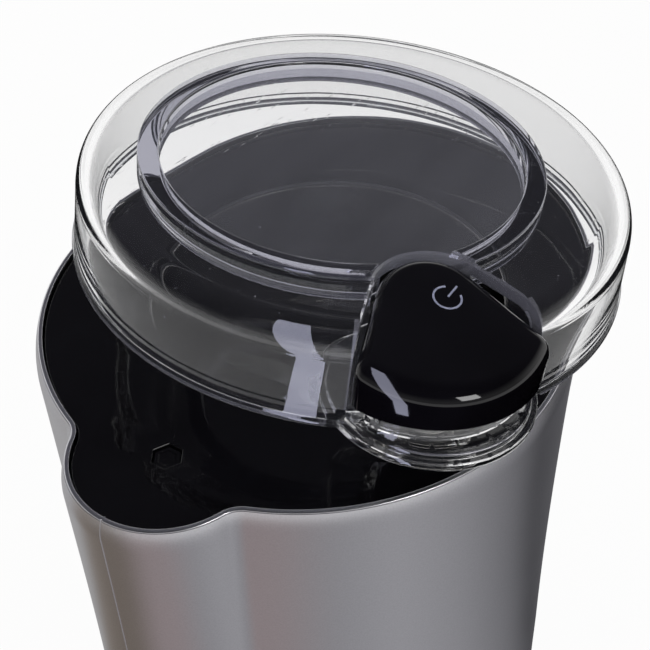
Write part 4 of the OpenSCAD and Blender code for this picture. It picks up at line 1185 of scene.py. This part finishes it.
def bladeArm(bend, turn):
    # narrows and thins towards its ground front edge, and bends past the flat middle
    loops = []
    for x in (0, 4, 8, 11, 12, 13, 16, 20, 24, 26, blade["reach"]):
        lift = max(0, x - blade["flat"]) * tan(radians(bend))
        front = 2.6 - max(0, x - 4) * tan(radians(4)) - (0.5 if x == blade["reach"] else 0)
        rear = -5 + (0.8 if x == blade["reach"] else 0)
        thin = 0.25 if x > 6 else blade["thick"] - 0.4
        section = [(rear, 0.15), (rear + 0.15, 0), (front, 0), (front, thin), (front - 2.2, blade["thick"]),
                   (rear + 0.15, blade["thick"]), (rear, blade["thick"] - 0.15)]
        loops.append([(x, y, z + lift) for y, z in section])
    return makePiece("arm", wrap(loops), Matrix.Rotation(turn, 4, "Z"), 20)


hubPath = roundPath([
    (0, 0, 0), (blade["hubR"], 0, 0.2), (blade["hubR"], blade["thick"], 0.2), (0, blade["thick"], 0)], 3,
    False)
bladePiece = makePiece("blade", lathe(hubPath, 64))
for k, bend in enumerate(blade["bends"]):
    carve(bladePiece, bladeArm(bend, pi * k), "UNION")
carve(bladePiece, makePiece("bore", lathe([(0, -2), (blade["holeR"], -2), (blade["holeR"], 4), (0, 4)], 48),
    None))
bladePiece.data.transform(Matrix.Translation((0, spindle[1] * mm, blade["z"] * mm)))
smooth(bladePiece, 25)
finishPiece(bladePiece, "rotor", "blade_steel", ["blade"])

# ---- acorn nut over the blade
nut = {"z": 122.4, "hexR": 5.2, "hexH": 3.2, "domeR": 4.2, "high": 5.4}
nutLoops = [hexLoop(r, z) for r, z in ((4.9, 0), (nut["hexR"], 0.25), (nut["hexR"], nut["hexH"] - 0.35),
    (4.6, nut["hexH"]))]
nutPiece = makePiece("acornNut", wrap(nutLoops), None, 20)
domePath = roundPath([
    (0, 1, 0), (nut["domeR"], 1, 0), (nut["domeR"], nut["hexH"] + 0.4, 0.6), (2.6, nut["high"], 1.2),
    (0, nut["high"], 0)], 6, False)
carve(nutPiece, makePiece("nutDome", lathe(domePath, 64), None, 30), "UNION")
nutPiece.data.transform(Matrix.Translation((0, spindle[1] * mm, nut["z"] * mm)))
smooth(nutPiece, 30)
finishPiece(nutPiece, "rotor", "screw_steel", ["blade_nut"])
print("bowl and blade ready")

# ---- leads inside the base: insulated wire, rounded at each bend
leads = {
    "r": 0.9, "bend": 4.0,
    "ways": [
        [(5.5, 26, 9.4), (5.5, 38, 9.4), (17.5, 43, 24), (17.5, 43, 98), (6, 31.4, 94)],
        [(-5.5, 26, 9.4), (-5.5, 40, 9.4), (-36, 16, 28), (-34, -2, 60), (-33, -20, 96), (-8, -46, 100),
            (-8, -46, 108.9), (-7, -41.3, 109.9)],
    ],
}


def bentWay(corners, bend, steps=6):
    path = [Vector(corners[0])]
    for before, here, after in zip(corners, corners[1:], corners[2:]):
        before, here, after = Vector(before), Vector(here), Vector(after)
        reach = min(bend, (here - before).length * 0.45, (after - here).length * 0.45)
        start, end = here + (before - here).normalized() * reach, here + (after - here).normalized() * reach
        for k in range(steps + 1):
            s = k / steps
            path.append(start * (1 - s) ** 2 + here * 2 * s * (1 - s) + end * s ** 2)
    return path + [Vector(corners[-1])]


def tubeAlong(path, r, sides=12):
    loops = []
    normal = (path[1] - path[0]).orthogonal().normalized()
    for i, spot in enumerate(path):
        ahead = (path[min(i + 1, len(path) - 1)] - path[max(i - 1, 0)]).normalized()
        normal = (normal - ahead * normal.dot(ahead)).normalized()
        other = ahead.cross(normal)
        loops.append([tuple(spot + (normal * cos(2 * pi * k / sides) + other * sin(2 * pi * k / sides)) * r)
            for k in range(sides)])
    return wrap(loops)


verts, faces = [], []
for way in leads["ways"]:
    own, ownFaces = tubeAlong(bentWay(way, leads["bend"]), leads["r"])
    faces += [tuple(v + len(verts) for v in face) for face in ownFaces]
    verts += own
finishPiece(makePiece("internalLeads", (verts, faces), None, 50), "base", "lead_insulation",
    ["internal_leads"])
print("leads ready")

# ---- every CAD node that stays gets its finish
for part in frame["record"]["subparts"]:
    held = nodes[part["node"]].data
    held.materials.clear()
    held.materials.append(finishes[part["material_slot"]])
print("CAD nodes dressed")


# ---- flags: the strip lights only the lid and its button, the card only what stands under them
def lightOnly(source, pieces):
    lit = bpy.data.collections.new(source.name + "Reach")
    for piece in pieces:
        lit.objects.link(piece)
    source.light_linking.receiver_collection = lit


lidPieces = [dome, capPiece, arcPiece]
lightOnly(bpy.data.objects["strip"], lidPieces)
lightOnly(card, [piece for piece in scene.objects
    if piece.type == "MESH" and piece not in lidPieces + [card, floor]])
